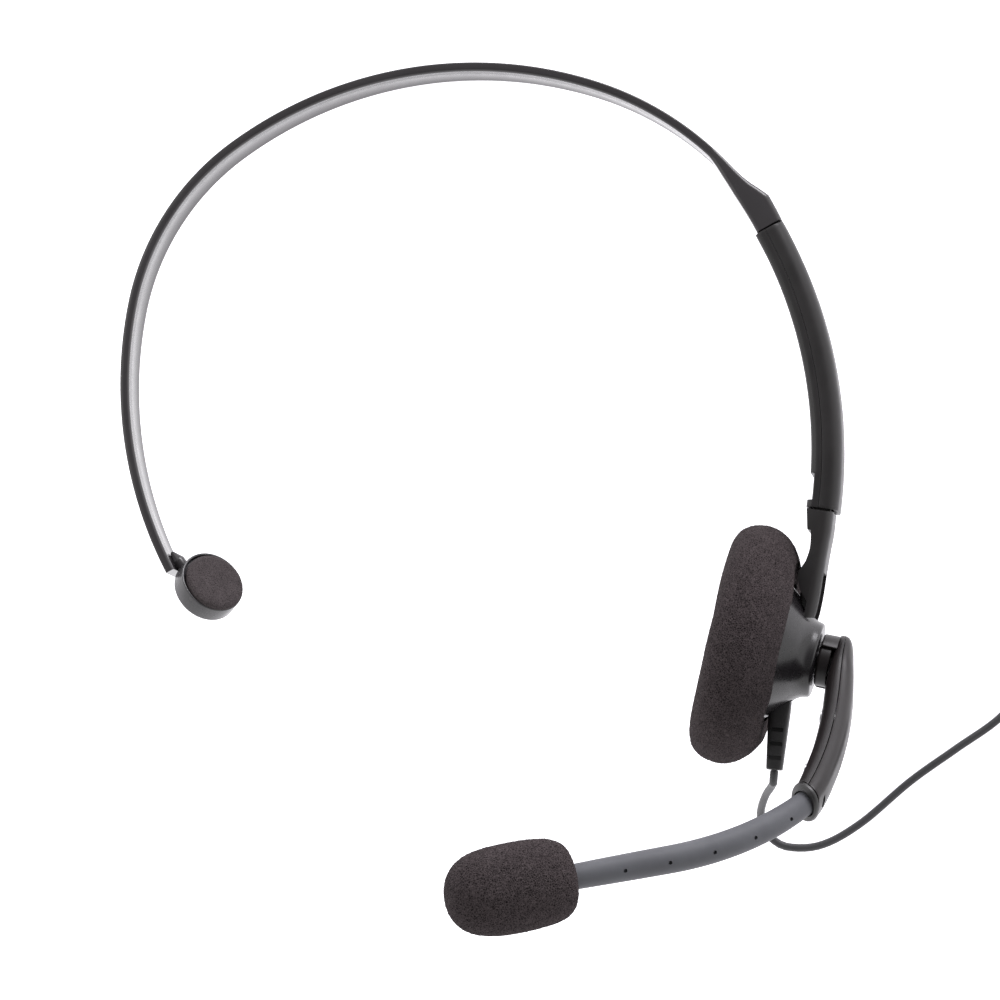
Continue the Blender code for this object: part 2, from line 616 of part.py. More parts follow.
def microphone(looks, frame, origin):
    """Housing, capsule, grille and foam windscreen at the end of the boom."""
    end = LINK_ENDS[-1]
    centre, along = flex_point(end + GAP)
    turn = aim(centre, along)
    housing = [(0, 0), (0, 2.5), (2.2, 4.1), (20.0, 4.1), (20.0, 3.4), (9.0, 3.4), (9.0, 0)]
    place("mic_housing", lathe(housing, 28, None, turn), looks["satin"], frame, origin)
    capsule = [(9.4, 0), (9.4, 3.0), (14.4, 3.0), (14.4, 0)]
    place("mic_capsule", lathe(capsule, 24, None, turn), looks["steel"], frame, origin)
    cap = place("mic_grille", lathe([(17.6, 0), (17.6, 3.1), (18.6, 3.1), (18.6, 0)], 24, None, turn),
                looks["satin"], frame, origin)
    holes = bmesh.new()
    side = Vector((along.y, -along.x, 0))
    for angle in range(0, 360, 90):
        u, v = polar(angle, 1.5)
        start = centre + along * 16.0 + side * u + Vector((0, 0, v))
        cylinder(start, along, 0.55, 4.0, 10, holes)
    cut(cap, holes, origin)
    foam_start, _ = flex_point(WINDSCREEN_FROM)
    length = WINDSCREEN_TO - WINDSCREEN_FROM
    egg = [(1.0, 0), (0.99, 0.3), (0.955, 0.56), (0.88, 0.78), (0.77, 0.92), (0.62, 0.99), (0.46, 1.0),
           (0.3, 0.985), (0.15, 0.93), (0.05, 0.82), (0.0, 0.66)]
    pocket = end + GAP + 20.0 - WINDSCREEN_FROM + 0.4
    profile = [(length * x, WINDSCREEN_RADIUS * r) for x, r in egg]
    profile += [(0.3, 4.5), (pocket, 4.5), (pocket, 0)]
    place("windscreen", lathe(profile, 36, None, aim(foam_start, along)), looks["foam"], frame, origin)


def arm_half(outer_half):
    """One half of the arm, on one side of its seam."""
    sections = []
    for top, low, half_width in BOOM_ARM:
        top, low = Vector(top), Vector(low)
        thick = (top - low).length
        up = (top - low) / thick
        seam = low + up * (thick * ARM_SEAM)
        height = thick * (1 - ARM_SEAM) if outer_half else thick * ARM_SEAM
        side = 1 if outer_half else -1
        height -= GAP / 2
        base = seam + up * (side * GAP / 2)
        loop = []
        for k in range(9):
            t = radians(180 * k / 8)
            u = height * sin(t) ** 0.7 if 0 < k < 8 else 0.0
            v = half_width * (1 if cos(t) > 0 else -1) * abs(cos(t)) ** 0.75
            loop.append((*(base + up * (side * u)), v))
        sections.append(loop)
    return loft(sections)


def boom_arm(looks, frame):
    """The rigid arm in two halves, its screws, its pivot and the ring where the flexible part starts."""
    outer = place("boom_arm_outer", arm_half(True), looks["gloss"], frame)
    inner = place("boom_arm_inner", arm_half(False), looks["gloss"], frame)
    hood = []
    for k in range(21):
        y, z = polar(HOOD_FROM + (360 - 2 * HOOD_FROM) * k / 20)
        hood.append([(x, r * y, r * z) for x, r in ((19.0, 6.2), (19.0, 7.4), (22.85, 7.4), (22.85, 6.2))])
    add(inner, loft(hood))
    socket_start, socket_along = flex_point(-5.0)
    for half in (outer, inner):
        hollow = bmesh.new()
        box((23.3, -3.4, -3.9), (26.9, 3.4 + 0.6, 3.9), hollow)
        cut(half, hollow)
        cut(half, cylinder(socket_start, socket_along, 3.25, 11.0, 20))
    cut(inner, cylinder((20.0, 0, 0), (1, 0, 0), SHAFT_RADIUS + 0.15, 5.0, 24))
    for number, radial in enumerate(ARM_SCREWS, 1):
        axial = 22.9 + 0.3 * number
        cut(inner, cylinder((axial - 2.0, radial, 0), (1, 0, 0), 1.75, 3.0, 16))
        cut(inner, cylinder((axial, radial, 0), (1, 0, 0), 0.9, 6.0, 12))
        cut(outer, cylinder((axial, radial, 0), (1, 0, 0), 0.9, 6.0, 12))
        screw = [(0, 0), (0, 1.5), (0.7, 1.5), (0.7, 0.6), (4.6, 0.6), (4.6, 0)]
        turn = Matrix.Translation((axial + 0.05, radial, 0))
        place("arm_screw_%d" % number, lathe(screw, 14, None, turn), looks["steel"], frame)
    shaft = [(14.2, 0), (14.2, 5.0), (15.2, 5.0), (15.2, SHAFT_RADIUS), (23.9, SHAFT_RADIUS),
             (23.9, 1.3), (18.5, 1.3), (18.5, 0)]
    place("pivot_shaft", lathe(shaft, 32), looks["satin"], frame)
    spring = [(15.5, 3.6), (15.5, 5.4), (16.6, 5.4), (16.6, 3.6)]
    place("pivot_spring_washer", lathe(spring, 28), looks["steel"], frame)
    disc = [(18.7, SHAFT_RADIUS + 0.15), (18.7, 5.5), (19.1, 5.9), (21.7, 5.9), (21.7, SHAFT_RADIUS + 0.15)]
    place("pivot_disc", lathe(disc, 36), looks["gloss"], frame)
    screw = [(19.0, 0), (19.0, 1.1), (24.2, 1.1), (24.2, 3.3), (25.0, 3.3), (25.0, 0)]
    place("pivot_screw", lathe(screw, 24), looks["steel"], frame)
    socket_ring(looks["satin"], frame)


def socket_ring(look, frame):
    """The oval ring at the arm's end, round the flexible boom."""
    top, low = Vector(BOOM_ARM[-1][0]), Vector(BOOM_ARM[-1][1])
    middle, up = (top + low) / 2, (top - low).normalized()
    away = Vector((-up.y, up.x))
    sections = []
    for distance, shrink in ((GAP, 0.0), (1.0, 0.1), (1.5, 0.5)):
        centre = middle + away * distance
        half_u, half_v = 4.2 - shrink, 5.1 - shrink
        sections.append([(*(centre + up * u), v) for u, v in oval(half_u, half_v, 24, 0.9)])
    ring = place("boom_socket_ring", loft(sections), look, frame)
    start, along = flex_point(-5.0)
    cut(ring, cylinder(start, along, 3.2, 12.0, 24))


# ============================ cord ============================================================
def smooth_route(points, spacing):
    """Points at an even spacing along a Catmull-Rom curve through the route's own points."""
    points = [Vector(p) for p in points]
    ends = [points[0] * 2 - points[1]] + points + [points[-1] * 2 - points[-2]]
    fine = []
    for a, b, c, d in zip(ends, ends[1:], ends[2:], ends[3:]):
        for k in range(24):
            t = k / 24
            fine.append(0.5 * (2 * b + (c - a) * t + (2 * a - 5 * b + 4 * c - d) * t ** 2
                               + (3 * b - a - 3 * c + d) * t ** 3))
    fine.append(points[-1])
    length = sum((q - p).length for p, q in zip(fine, fine[1:]))
    count = max(2, round(length / spacing))
    picked, walked, wanted = [fine[0]], 0.0, length / count
    for p, q in zip(fine, fine[1:]):
        step = (q - p).length
        while wanted <= walked + step and len(picked) < count:
            picked.append(p.lerp(q, (wanted - walked) / step))
            wanted += length / count
        walked += step
    picked.append(fine[-1])
    return picked


def cord(looks, cup_frame):
    """The cord's free stretch, its stored coil, the coil's tie and the plug on its end."""
    curve = bpy.data.curves.new("cord_tube", "CURVE")
    curve.dimensions = "3D"
    curve.bevel_depth = CORD_RADIUS * MM
    curve.bevel_resolution = 2
    curve.use_fill_caps = True
    spline = curve.splines.new("POLY")
    top, bottom = Vector((*RELIEF_TOP, 0)), Vector((*RELIEF_BOTTOM, 0))
    exit_way = (bottom - top).normalized()
    leaving = [cup_frame.matrix_world @ ((bottom + exit_way * d) * MM) / MM for d in (2 * GAP, 3.0)]
    points = smooth_route([*leaving, *CORD_ROUTE], 4.2 * CORD_RADIUS)
    spline.points.add(len(points) - 1)
    for slot, point in zip(spline.points, points):
        slot.co = (*(point * MM), 1.0)
    curve.materials.append(looks["cord"])
    tube_object = bpy.data.objects.new("cord_tube", curve)
    bpy.context.collection.objects.link(tube_object)

    middle, half = COIL_MIDDLE_RADIUS, COIL_SIDE / 2
    centre = Vector((*COIL_CENTRE, half))
    upright = Matrix.Translation(centre) @ Matrix.Rotation(-pi / 2, 4, "Y")
    section = [(u, middle + v) for u, v in chamfered(half, half, 1.2)]
    coil = place("cord_coil", lathe(section, 44, None, upright), looks["cord"])
    tie_place = centre + Vector((0, -middle, 0))
    cut(coil, frame_ring(tie_place, half + 1.0, half - TIE_THICK - GAP, TIE_WIDTH / 2 + GAP))
    place("cord_tie", frame_ring(tie_place, half, half - TIE_THICK, TIE_WIDTH / 2), looks["tie"])
    plug(looks)


def frame_ring(centre, outer, inner, half_width):
    """A square loop round a bundle that runs along X."""
    bm = bmesh.new()
    rings = []
    for size in (outer, inner):
        for x in (-half_width, half_width):
            rings.append([bm.verts.new(centre + Vector((x, y, z))) for y, z in chamfered(size, size, 0.9)])
    outer_low, outer_high, inner_low, inner_high = rings
    for one, two in ((outer_low, outer_high), (outer_high, inner_high), (inner_high, inner_low),
                     (inner_low, outer_low)):
        for k in range(8):
            n = (k + 1) % 8
            bm.faces.new((one[k], one[n], two[n], two[k]))
    return bm


def plug(looks):
    """A generic round plug lying beside the coil, with its moulded boot."""
    start = Vector((COIL_CENTRE[0] + COIL_MIDDLE_RADIUS + COIL_SIDE / 2 - CORD_RADIUS,
                    COIL_CENTRE[1] - PLUG_FROM_COIL, PLUG_RADIUS))
    turn = aim(start, (0, -1, 0))
    boot = [(0, 0), (0, 1.5), (9.0, 2.3), (9.0, 0)]
    body = [(9.3, 0), (9.3, 2.9), (10.0, PLUG_RADIUS), (26.0, PLUG_RADIUS), (26.6, 2.9), (26.6, 0)]
    tip = [(26.9, 0), (26.9, 1.75), (32.3, 1.75), (32.5, 1.6), (32.9, 1.6), (33.1, 1.75), (36.0, 1.75),
           (36.2, 1.6), (36.6, 1.6), (36.8, 1.75), (38.2, 1.75), (39.0, 1.25), (40.4, 1.6), (41.3, 0.5),
           (41.3, 0)]
    place("plug_boot", lathe(boot, 20, None, turn), looks["rubber"])
    place("plug_body", lathe(body, 28, None, turn), looks["satin"])
    place("plug_tip", lathe(tip, 24, None, turn), looks["brass"])


# ============================ the whole headset ================================================
def settle(layout):
    """Lays the design frame down: the headset's box is centred and its lowest point is at z = 0."""
    tilt_axis = Vector((-sin(radians(LIE_TOWARDS)), cos(radians(LIE_TOWARDS)), 0))
    layout.rotation_euler = Matrix.Rotation(radians(LIE_ANGLE), 4, tilt_axis).to_euler()
    bpy.context.view_layer.update()
    graph = bpy.context.evaluated_depsgraph_get()
    spots = []
    for part in layout.children_recursive:
        if part.type != "MESH" or part.hide_render:
            continue
        solid = part.evaluated_get(graph)
        spots += [solid.matrix_world @ vertex.co for vertex in solid.data.vertices]
    low = [min(spot[axis] for spot in spots) for axis in range(3)]
    high = [max(spot[axis] for spot in spots) for axis in range(3)]
    layout.location = (-(low[0] + high[0]) / 2, -(low[1] + high[1]) / 2, -low[2])
    bpy.context.view_layer.update()


def build():
    for old in list(bpy.data.objects):
        bpy.data.objects.remove(old, do_unlink=True)
    looks = {
        "gloss": material("gloss_black", (0.03, 0.029, 0.032), 0.22),
        "satin": material("satin_black", (0.035, 0.034, 0.037), 0.45),
        "rubber": material("soft_rubber", (0.10, 0.105, 0.12), 0.75),
        "foam": material("open_foam", (0.03, 0.03, 0.032), 1.0),
        "cord": material("cord_jacket", (0.09, 0.09, 0.095), 0.6),
        "steel": material("bright_steel", (0.6, 0.6, 0.62), 0.3, 1.0),
        "brass": material("gold_contacts", (0.83, 0.66, 0.32), 0.25, 1.0),
        "film": material("clear_film", (0.55, 0.56, 0.5), 0.3),
        "board": material("circuit_board", (0.05, 0.22, 0.10), 0.5),
        "tie": material("tie_strap", (0.04, 0.04, 0.04), 0.6),
    }
    layout = empty("layout")
    sleeve_frame = empty("sleeve_frame", layout, (*SLEEVE_CENTRE, 0))
    headband_strip(looks["satin"], sleeve_frame)
    sleeve(looks, sleeve_frame)
    sleeve_screws(looks["steel"], sleeve_frame)
    slider_strip(looks["steel"], sleeve_frame)
    detent_spring(looks["steel"], sleeve_frame)

    tilt_frame = empty("tilt_frame", layout, (*cup_point(*TILT_PIN), 0))
    ear_arm(looks, tilt_frame, sleeve_frame)

    facing = polar(PAD_AXIS_HEADING + 90)
    turn = Matrix.Rotation(radians(PAD_TURN), 4, (*polar(PAD_AXIS_HEADING), 0))
    normal = turn @ Vector((*facing, 0))
    along = Vector((*polar(PAD_AXIS_HEADING), 0))
    pad_turn = Matrix((normal, along, normal.cross(along))).transposed()
    pad_frame = empty("pad_frame", layout, (*PAD_CENTRE, 0), pad_turn)
    temple_pad(looks, pad_frame)
    pad_pivot_pin(looks["steel"], pad_frame)

    cup_frame = empty("cup_frame", layout, CUP_CENTRE, Matrix.Rotation(radians(CUP_TILT), 4, "Z"))
    ear_cup(looks, cup_frame)
    boom_frame = empty("boom_frame", cup_frame, (0, 0, 0), Matrix.Rotation(radians(180 - BOOM_SWING), 4, "X"))
    boom_arm(looks, boom_frame)
    tip_frame, tip_origin = boom_links(looks, boom_frame)
    microphone(looks, tip_frame, tip_origin)
    strain_relief(looks["rubber"], cup_frame)
    settle(layout)
    cord(looks, cup_frame)


build()
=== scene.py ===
"""Looks for the office headset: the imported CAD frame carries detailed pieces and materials.

Shapes are written in millimetres in the frames of the part: the headband's plane, the ear cup's
axis, the boom's plane and the temple pad. Each frame comes from the record's joints.
"""
import json
from math import cos, pi, radians, sin

import bmesh
import bpy
import numpy as np
from mathutils import Matrix, Vector, noise


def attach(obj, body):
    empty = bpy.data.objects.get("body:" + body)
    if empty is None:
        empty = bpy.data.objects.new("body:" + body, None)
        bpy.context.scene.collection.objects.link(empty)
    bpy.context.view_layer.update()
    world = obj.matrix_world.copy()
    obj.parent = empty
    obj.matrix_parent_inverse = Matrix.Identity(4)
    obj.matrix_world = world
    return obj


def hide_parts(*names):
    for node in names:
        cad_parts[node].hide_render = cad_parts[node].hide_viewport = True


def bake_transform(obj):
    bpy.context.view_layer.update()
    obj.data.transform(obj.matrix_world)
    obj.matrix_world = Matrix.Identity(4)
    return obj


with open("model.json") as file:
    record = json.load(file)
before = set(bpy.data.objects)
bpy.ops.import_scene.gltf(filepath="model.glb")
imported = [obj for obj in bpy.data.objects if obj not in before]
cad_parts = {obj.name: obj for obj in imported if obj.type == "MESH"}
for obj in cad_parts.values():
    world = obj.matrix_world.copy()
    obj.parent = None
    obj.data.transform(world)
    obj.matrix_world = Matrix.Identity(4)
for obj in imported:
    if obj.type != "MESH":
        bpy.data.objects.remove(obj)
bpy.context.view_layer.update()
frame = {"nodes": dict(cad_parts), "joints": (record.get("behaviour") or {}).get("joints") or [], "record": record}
MM = 0.001
GAP = 0.3
JOINTS = {joint["name"]: joint for joint in frame["joints"]}

# ==== sizes, as in the part unless a comment says otherwise ====
STRIP_THICK, STRIP_HALF_WIDTH = 2.2, 6.25
BAND_ARCS = ((79.5, 41.6), (100.7, 55.0), (63.2, 43.8), (102.3, 38.9))
BAND_HEADING, BAND_START, BLOCK_END = 118.8, (73.3, 45.8), 17.2
SLEEVE_CENTRE = (-26.6, -8.4)
SLEEVE_INNER, SLEEVE_SEAM, SLEEVE_OUTER = 108.0, 111.0, 115.8
SLEEVE_HALF_WIDTH, SLEEVE_LOW, SLEEVE_HIGH = 7.0, -7.9, 28.5
SLEEVE_SCREWS, STOP_TOP, NOTCH_TOP = (23.4, 27.0), 0.95, 4.35
CUP_CENTRE, CUP_TILT = (64.5, -56.0, 0.0), -13.0
TILT_PIN, TILT_PIN_RADIUS, LUG_RADIUS, LUG_HALF_WIDTH = (13.2, 16.0), 1.1, 2.1, 4.7
SHAFT_RADIUS = 3.2
BOOM_START = (25.7, 53.6)
BOOM_HEADING_START, BOOM_HEADING_END, BOOM_BEND_RADIUS = 64.0, 34.0, 74.0
LINK_ENDS = (-4.3, 12.4, 23.3, 34.2, 45.1, 65.0)
WINDSCREEN_FROM, WINDSCREEN_TO, WINDSCREEN_RADIUS = 63.0, 92.6, 10.5
PAD_RADIUS, PAD_BACK, PAD_RIM, PAD_FACE = 8.05, 2.2, 6.0, 7.4
RELIEF_TOP, RELIEF_BOTTOM = (12.1, -13.6), (14.0, -28.0)
CORD_RADIUS = 1.0
COIL_CENTRE, COIL_MIDDLE_RADIUS, COIL_SIDE = (148.0, -56.0), 11.0, 8.0
PLUG_RADIUS, PLUG_FROM_COIL = 3.5, 9.3
# the rigid arm's upper point, lower point and half width; its first rows are fuller than the part's
BOOM_ARM = (((24.0, -6.1), (22.2, -6.1), 3.4), ((25.3, -4.9), (22.0, -4.9), 5.4),
            ((26.6, -2.0), (22.0, -2.0), 6.9), ((27.9, 3.5), (22.0, 4.5), 7.1),
            ((29.2, 9.5), (22.3, 10.0), 6.3), ((30.4, 17.0), (23.1, 17.0), 5.6),
            ((31.3, 26.0), (23.8, 25.5), 5.3), ((31.6, 35.0), (24.1, 34.0), 5.1),
            ((31.3, 43.0), (23.9, 41.0), 5.0), ((30.7, 49.0), (23.6, 45.6), 5.0),
            ((29.7, 54.0), (23.3, 49.6), 4.9))
ARM_SEAM, ARM_SCREWS = 0.45, (20.5, 41.0)
HOOD_FROM = 74
# the ear arm's outline; its tip is up to 0.8 shorter than the part's
ARM_OUTLINE = ((80.6, -23.7), (87.0, -24.6), (86.5, -29.0), (85.6, -33.5), (84.7, -38.5), (83.9, -43.5),
               (82.95, -48.0), (82.2, -50.3), (81.9, -49.6), (81.1, -47.7), (80.15, -45.85), (79.2, -44.2),
               (78.6, -42.4), (78.4, -39.8), (79.2, -38.1), (80.3, -36.4), (81.2, -33.8), (81.5, -31.5),
               (81.55, -29.1), (80.7, -28.8))
ARM_CORNERS = (0, 1, 7, 18, 19)
ARM_FORK_TOP, ARM_ROUNDING = -39.2, 2.6
CORD_ROUTE = ((69.6, -76.3, 26.8), (68.5, -78.0, 21.5), (67.2, -79.8, 16.5), (66.0, -82.1, 11.8),
              (65.1, -84.4, 7.5), (64.6, -86.8, 4.0), (64.9, -89.3, 1.8), (66.0, -91.7, 1.1),
              (70.5, -94.8, 1.0), (79.2, -94.5, 1.0), (89.2, -89.1, 1.0), (101.7, -78.7, 1.0),
              (113.0, -70.8, 1.0), (124.1, -63.0, 1.0), (132.0, -53.4, 1.1))


# ==== frames ====
def axes(origin, x, z):
    """A frame in millimetres from its origin in metres, its X axis and its Z axis."""
    x, z = Vector(x).normalized(), Vector(z).normalized()
    made = Matrix((x, z.cross(x), z)).transposed().to_4x4()
    made.translation = Vector(origin)
    return made @ Matrix.Diagonal((MM, MM, MM, 1))


def joint_place(name):
    return Vector(JOINTS[name]["pos_m"]), Vector(JOINTS[name]["axis"])


swing_place, cup_x = joint_place("boom_swing")
sleeve_place, plane_z = joint_place("band_extend")
pad_place, pad_y = joint_place("pad_swivel")
flex_z = joint_place("boom_flex_1")[1]
band_x = Matrix.Rotation(radians(-CUP_TILT), 3, plane_z) @ cup_x
face = next(m for m in frame["record"]["mounts"] if m["name"] == "temple_face")
CUP = axes(swing_place, cup_x, plane_z)
SLEEVE = axes(sleeve_place, band_x, plane_z)
DESIGN = SLEEVE @ Matrix.Translation((-SLEEVE_CENTRE[0], -SLEEVE_CENTRE[1], 0))
BOOM = axes(swing_place, cup_x, flex_z)
PAD = axes(pad_place, face["axis"], Vector(face["axis"]).cross(pad_y))
WORLD = Matrix.Diagonal((MM, MM, MM, 1))


# ==== camera ====
def camera():
    """Seen from above and a little to one side, with a long lens."""
    data = bpy.data.cameras.new("camera")
    data.lens = 164.25
    data.sensor_width = 36.0
    data.clip_start, data.clip_end = 0.05, 20.0
    made = bpy.data.objects.new("camera", data)
    bpy.context.scene.collection.objects.link(made)
    place = DESIGN @ Vector((160.2, -144.3, 1100.0))
    target = DESIGN @ Vector((4.96, -19.85, 0.0))
    back = (place - target).normalized()
    band_y = plane_z.normalized().cross(band_x)
    right = band_y.cross(back).normalized()
    turn = Matrix((right, back.cross(right), back)).transposed()
    made.matrix_world = Matrix.Translation(place) @ turn.to_4x4()
    bpy.context.scene.camera = made


# ==== mesh tools ====
def polar(angle, radius=1.0, centre=(0.0, 0.0)):
    return Vector((centre[0] + radius * cos(radians(angle)), centre[1] + radius * sin(radians(angle))))


def signed_power(value, power):
    return (1 if value > 0 else -1) * abs(value) ** power


def place(name, bm, matrix, look, body=None, sharp=35, nodes=()):
    """Makes a piece from a bmesh in a frame's millimetres; its mesh ends in the row frame."""
    bmesh.ops.recalc_face_normals(bm, faces=bm.faces)
    bmesh.ops.transform(bm, matrix=matrix, verts=bm.verts)
    if matrix.determinant() < 0:
        bmesh.ops.reverse_faces(bm, faces=bm.faces)
    mesh = bpy.data.meshes.new(name)
    bm.to_mesh(mesh)
    bm.free()
    mesh.shade_smooth()
    mesh.set_sharp_from_angle(angle=radians(sharp))
    made = bpy.data.objects.new(name, mesh)
    bpy.context.scene.collection.objects.link(made)
    if look:
        mesh.materials.append(look)
    if body:
        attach(made, body)
    if nodes:
        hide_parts(*nodes)
    return made


def combine(target, tool, operation, crossing=False, sharp=35):
    """A Boolean with another piece, whose result is kept and whose tool is thrown away."""
    step = target.modifiers.new("cut", "BOOLEAN")
    step.operation = operation
    step.solver = "EXACT"
    step.use_self = crossing
    step.object = tool
    settle(target, sharp)
    bpy.data.objects.remove(tool)


def boolean(target, bm, matrix, operation="DIFFERENCE", crossing=False):
    """A Boolean with a bmesh; crossing says that the bmesh's own solids run through each other."""
    combine(target, place("tool", bm, matrix, None), operation, crossing)


def settle(target, sharp=35):
    """Applies a piece's modifiers to its mesh."""
    bpy.context.view_layer.update()
    graph = bpy.context.evaluated_depsgraph_get()
    old = target.data
    looks = list(old.materials)
    fresh = bpy.data.meshes.new_from_object(target.evaluated_get(graph))
    target.modifiers.clear()
    target.data = fresh
    bpy.data.meshes.remove(old)
    fresh.name = target.name
    fresh.materials.clear()
    for look in looks:
        fresh.materials.append(look)
    fresh.shade_smooth()
    fresh.set_sharp_from_angle(angle=radians(sharp))


def round_edges(target, width, segments=3, angle=32, sharp=42):
    """Rounds the crisp edges of a piece."""
    step = target.modifiers.new("edges", "BEVEL")
    step.width = width * MM
    step.segments = segments
    step.limit_method = "ANGLE"
    step.angle_limit = radians(angle)
    step.harden_normals = False
    step.use_clamp_overlap = True
    settle(target, sharp)


def lathe(profile, segments=96, bm=None, turn=None):
    """Turns a profile of (x, radius) about X."""
    bm = bm or bmesh.new()
    turn = turn or Matrix.Identity(4)
    rings = []
    for x, radius in profile:
        if radius == 0:
            rings.append([bm.verts.new(turn @ Vector((x, 0, 0)))])
            continue
        spots = [polar(360 * k / segments, radius) for k in range(segments)]
        rings.append([bm.verts.new(turn @ Vector((x, y, z))) for y, z in spots])
    pairs = list(zip(rings, rings[1:]))
    if profile[0][1] > 0:
        pairs.append((rings[-1], rings[0]))
    for one, two in pairs:
        for k in range(segments):
            n = k + 1
            ring = (one[k % len(one)], one[n % len(one)], two[n % len(two)], two[k % len(two)])
            corners = list(dict.fromkeys(ring))
            if len(corners) > 2:
                bm.faces.new(corners)
    return bm


def bridge(bm, one, two):
    """Faces between two rings with the same number of points."""
    count = len(one)
    for k in range(count):
        n = (k + 1) % count
        bm.faces.new((one[k], one[n], two[n], two[k]))


def loft(sections, bm=None):
    """One closed solid through loops with the same number of points."""
    bm = bm or bmesh.new()
    rings = [[bm.verts.new(point) for point in section] for section in sections]
    for one, two in zip(rings, rings[1:]):
        bridge(bm, one, two)
    bm.faces.new(rings[0])
    bm.faces.new(rings[-1][::-1])
    return bm


def aim(start, axis):
    return Matrix.Translation(Vector(start)) @ Vector(axis).to_track_quat("X", "Z").to_matrix().to_4x4()


def cylinder(start, axis, radius, length, segments=32, bm=None):
    return lathe([(0, 0), (0, radius), (length, radius), (length, 0)], segments, bm, aim(start, axis))


def prism(outline, z0, z1, bm=None):
    return loft([[(x, y, z0) for x, y in outline], [(x, y, z1) for x, y in outline]], bm)


def box(low, high, bm=None):
    (x0, y0, z0), (x1, y1, z1) = low, high
    return prism([(x0, y0), (x1, y0), (x1, y1), (x0, y1)], z0, z1, bm)


def catmull_rom(a, b, c, d, t):
    """The point at t between b and c on the curve through four points."""
    return 0.5 * (2 * b + (c - a) * t + (2 * a - 5 * b + 4 * c - d) * t ** 2
                  + (3 * b - a - 3 * c + d) * t ** 3)


def curve_through(points, steps):
    """Points along a smooth curve through tuples of any length."""
    points = [np.array(p, float) for p in points]
    ends = [2 * points[0] - points[1]] + points + [2 * points[-1] - points[-2]]
    fine = []
    for a, b, c, d in zip(ends, ends[1:], ends[2:], ends[3:]):
        fine += [catmull_rom(a, b, c, d, k / steps) for k in range(steps)]
    return fine + [points[-1]]


def rounded(profile, radius, steps=4):
    """Rounds the inner corners of an open profile of 2-D points, as far as its edges allow."""
    out = [tuple(profile[0])]
    for a, b, c in zip(profile, profile[1:], profile[2:]):
        a, b, c = Vector(a), Vector(b), Vector(c)
        one, two = (a - b), (c - b)
        cut = min(radius, one.length * 0.45, two.length * 0.45)
        p, q = b + one.normalized() * cut, b + two.normalized() * cut
        for k in range(steps + 1):
            t = k / steps
            out.append(tuple(p * (1 - t) ** 2 + b * 2 * t * (1 - t) + q * t ** 2))
    out.append(tuple(profile[-1]))
    return out


# ==== materials ====
def look(name):
    """An empty node material with a Principled shader and object coordinates in millimetres."""
    made = bpy.data.materials.new(name)
    made.use_nodes = True
    nodes, links = made.node_tree.nodes, made.node_tree.links
    shader = nodes["Principled BSDF"]
    coords = nodes.new("ShaderNodeTexCoord")
    scale = nodes.new("ShaderNodeMapping")
    scale.inputs["Scale"].default_value = (1000, 1000, 1000)
    links.new(coords.outputs["Object"], scale.inputs["Vector"])
    return made, nodes, links, shader, scale.outputs["Vector"]


def noise_node(nodes, links, where, scale, detail=2.0, rough=0.5):
    node = nodes.new("ShaderNodeTexNoise")
    node.inputs["Scale"].default_value = scale
    node.inputs["Detail"].default_value = detail
    node.inputs["Roughness"].default_value = rough
    links.new(where, node.inputs["Vector"])
    return node.outputs["Fac"]


def ramp(nodes, links, source, stops):
    """A colour ramp; each stop is (place, (r, g, b)) or (place, grey)."""
    node = nodes.new("ShaderNodeValToRGB")
    links.new(source, node.inputs["Fac"])
    elements = node.color_ramp.elements
    while len(elements) < len(stops):
        elements.new(0.5)
    for element, (where, value) in zip(elements, stops):
        element.position = where
        colour = value if isinstance(value, tuple) else (value, value, value)
        element.color = (*colour, 1.0)
    return node.outputs["Color"]


def bump(nodes, links, height, strength, distance):
    node = nodes.new("ShaderNodeBump")
    node.inputs["Strength"].default_value = strength
    node.inputs["Distance"].default_value = distance * MM
    links.new(height, node.inputs["Height"])
    return node.outputs["Normal"]


def plastic(name, dark, light, rough_low, rough_high, grain=0.012, shine=0.5):
    """Moulded plastic: faint colour drift, uneven gloss and a fine grain."""
    made, nodes, links, shader, where = look(name)
    drift = noise_node(nodes, links, where, 0.06, 3.0)
    links.new(ramp(nodes, links, drift, ((0.3, dark), (0.7, light))), shader.inputs["Base Color"])
    patches = noise_node(nodes, links, where, 0.25, 4.0, 0.6)
    gloss = ramp(nodes, links, patches, ((0.3, rough_low), (0.75, rough_high)))
    links.new(gloss, shader.inputs["Roughness"])
    fine = noise_node(nodes, links, where, 3.0, 3.0, 0.6)
    links.new(bump(nodes, links, fine, 0.35, grain), shader.inputs["Normal"])
    shader.inputs["Specular IOR Level"].default_value = shine
    return made


def rubber(name, dark, light, rough=0.62, grain=0.03):
    """Soft moulded rubber with a dry, dusty skin."""
    made, nodes, links, shader, where = look(name)
    drift = noise_node(nodes, links, where, 0.12, 4.0, 0.6)
    links.new(ramp(nodes, links, drift, ((0.3, dark), (0.72, light))), shader.inputs["Base Color"])
    shader.inputs["Roughness"].default_value = rough
    shader.inputs["Specular IOR Level"].default_value = 0.35
    fine = noise_node(nodes, links, where, 5.0, 3.0, 0.65)
    links.new(bump(nodes, links, fine, 0.5, grain), shader.inputs["Normal"])
    return made


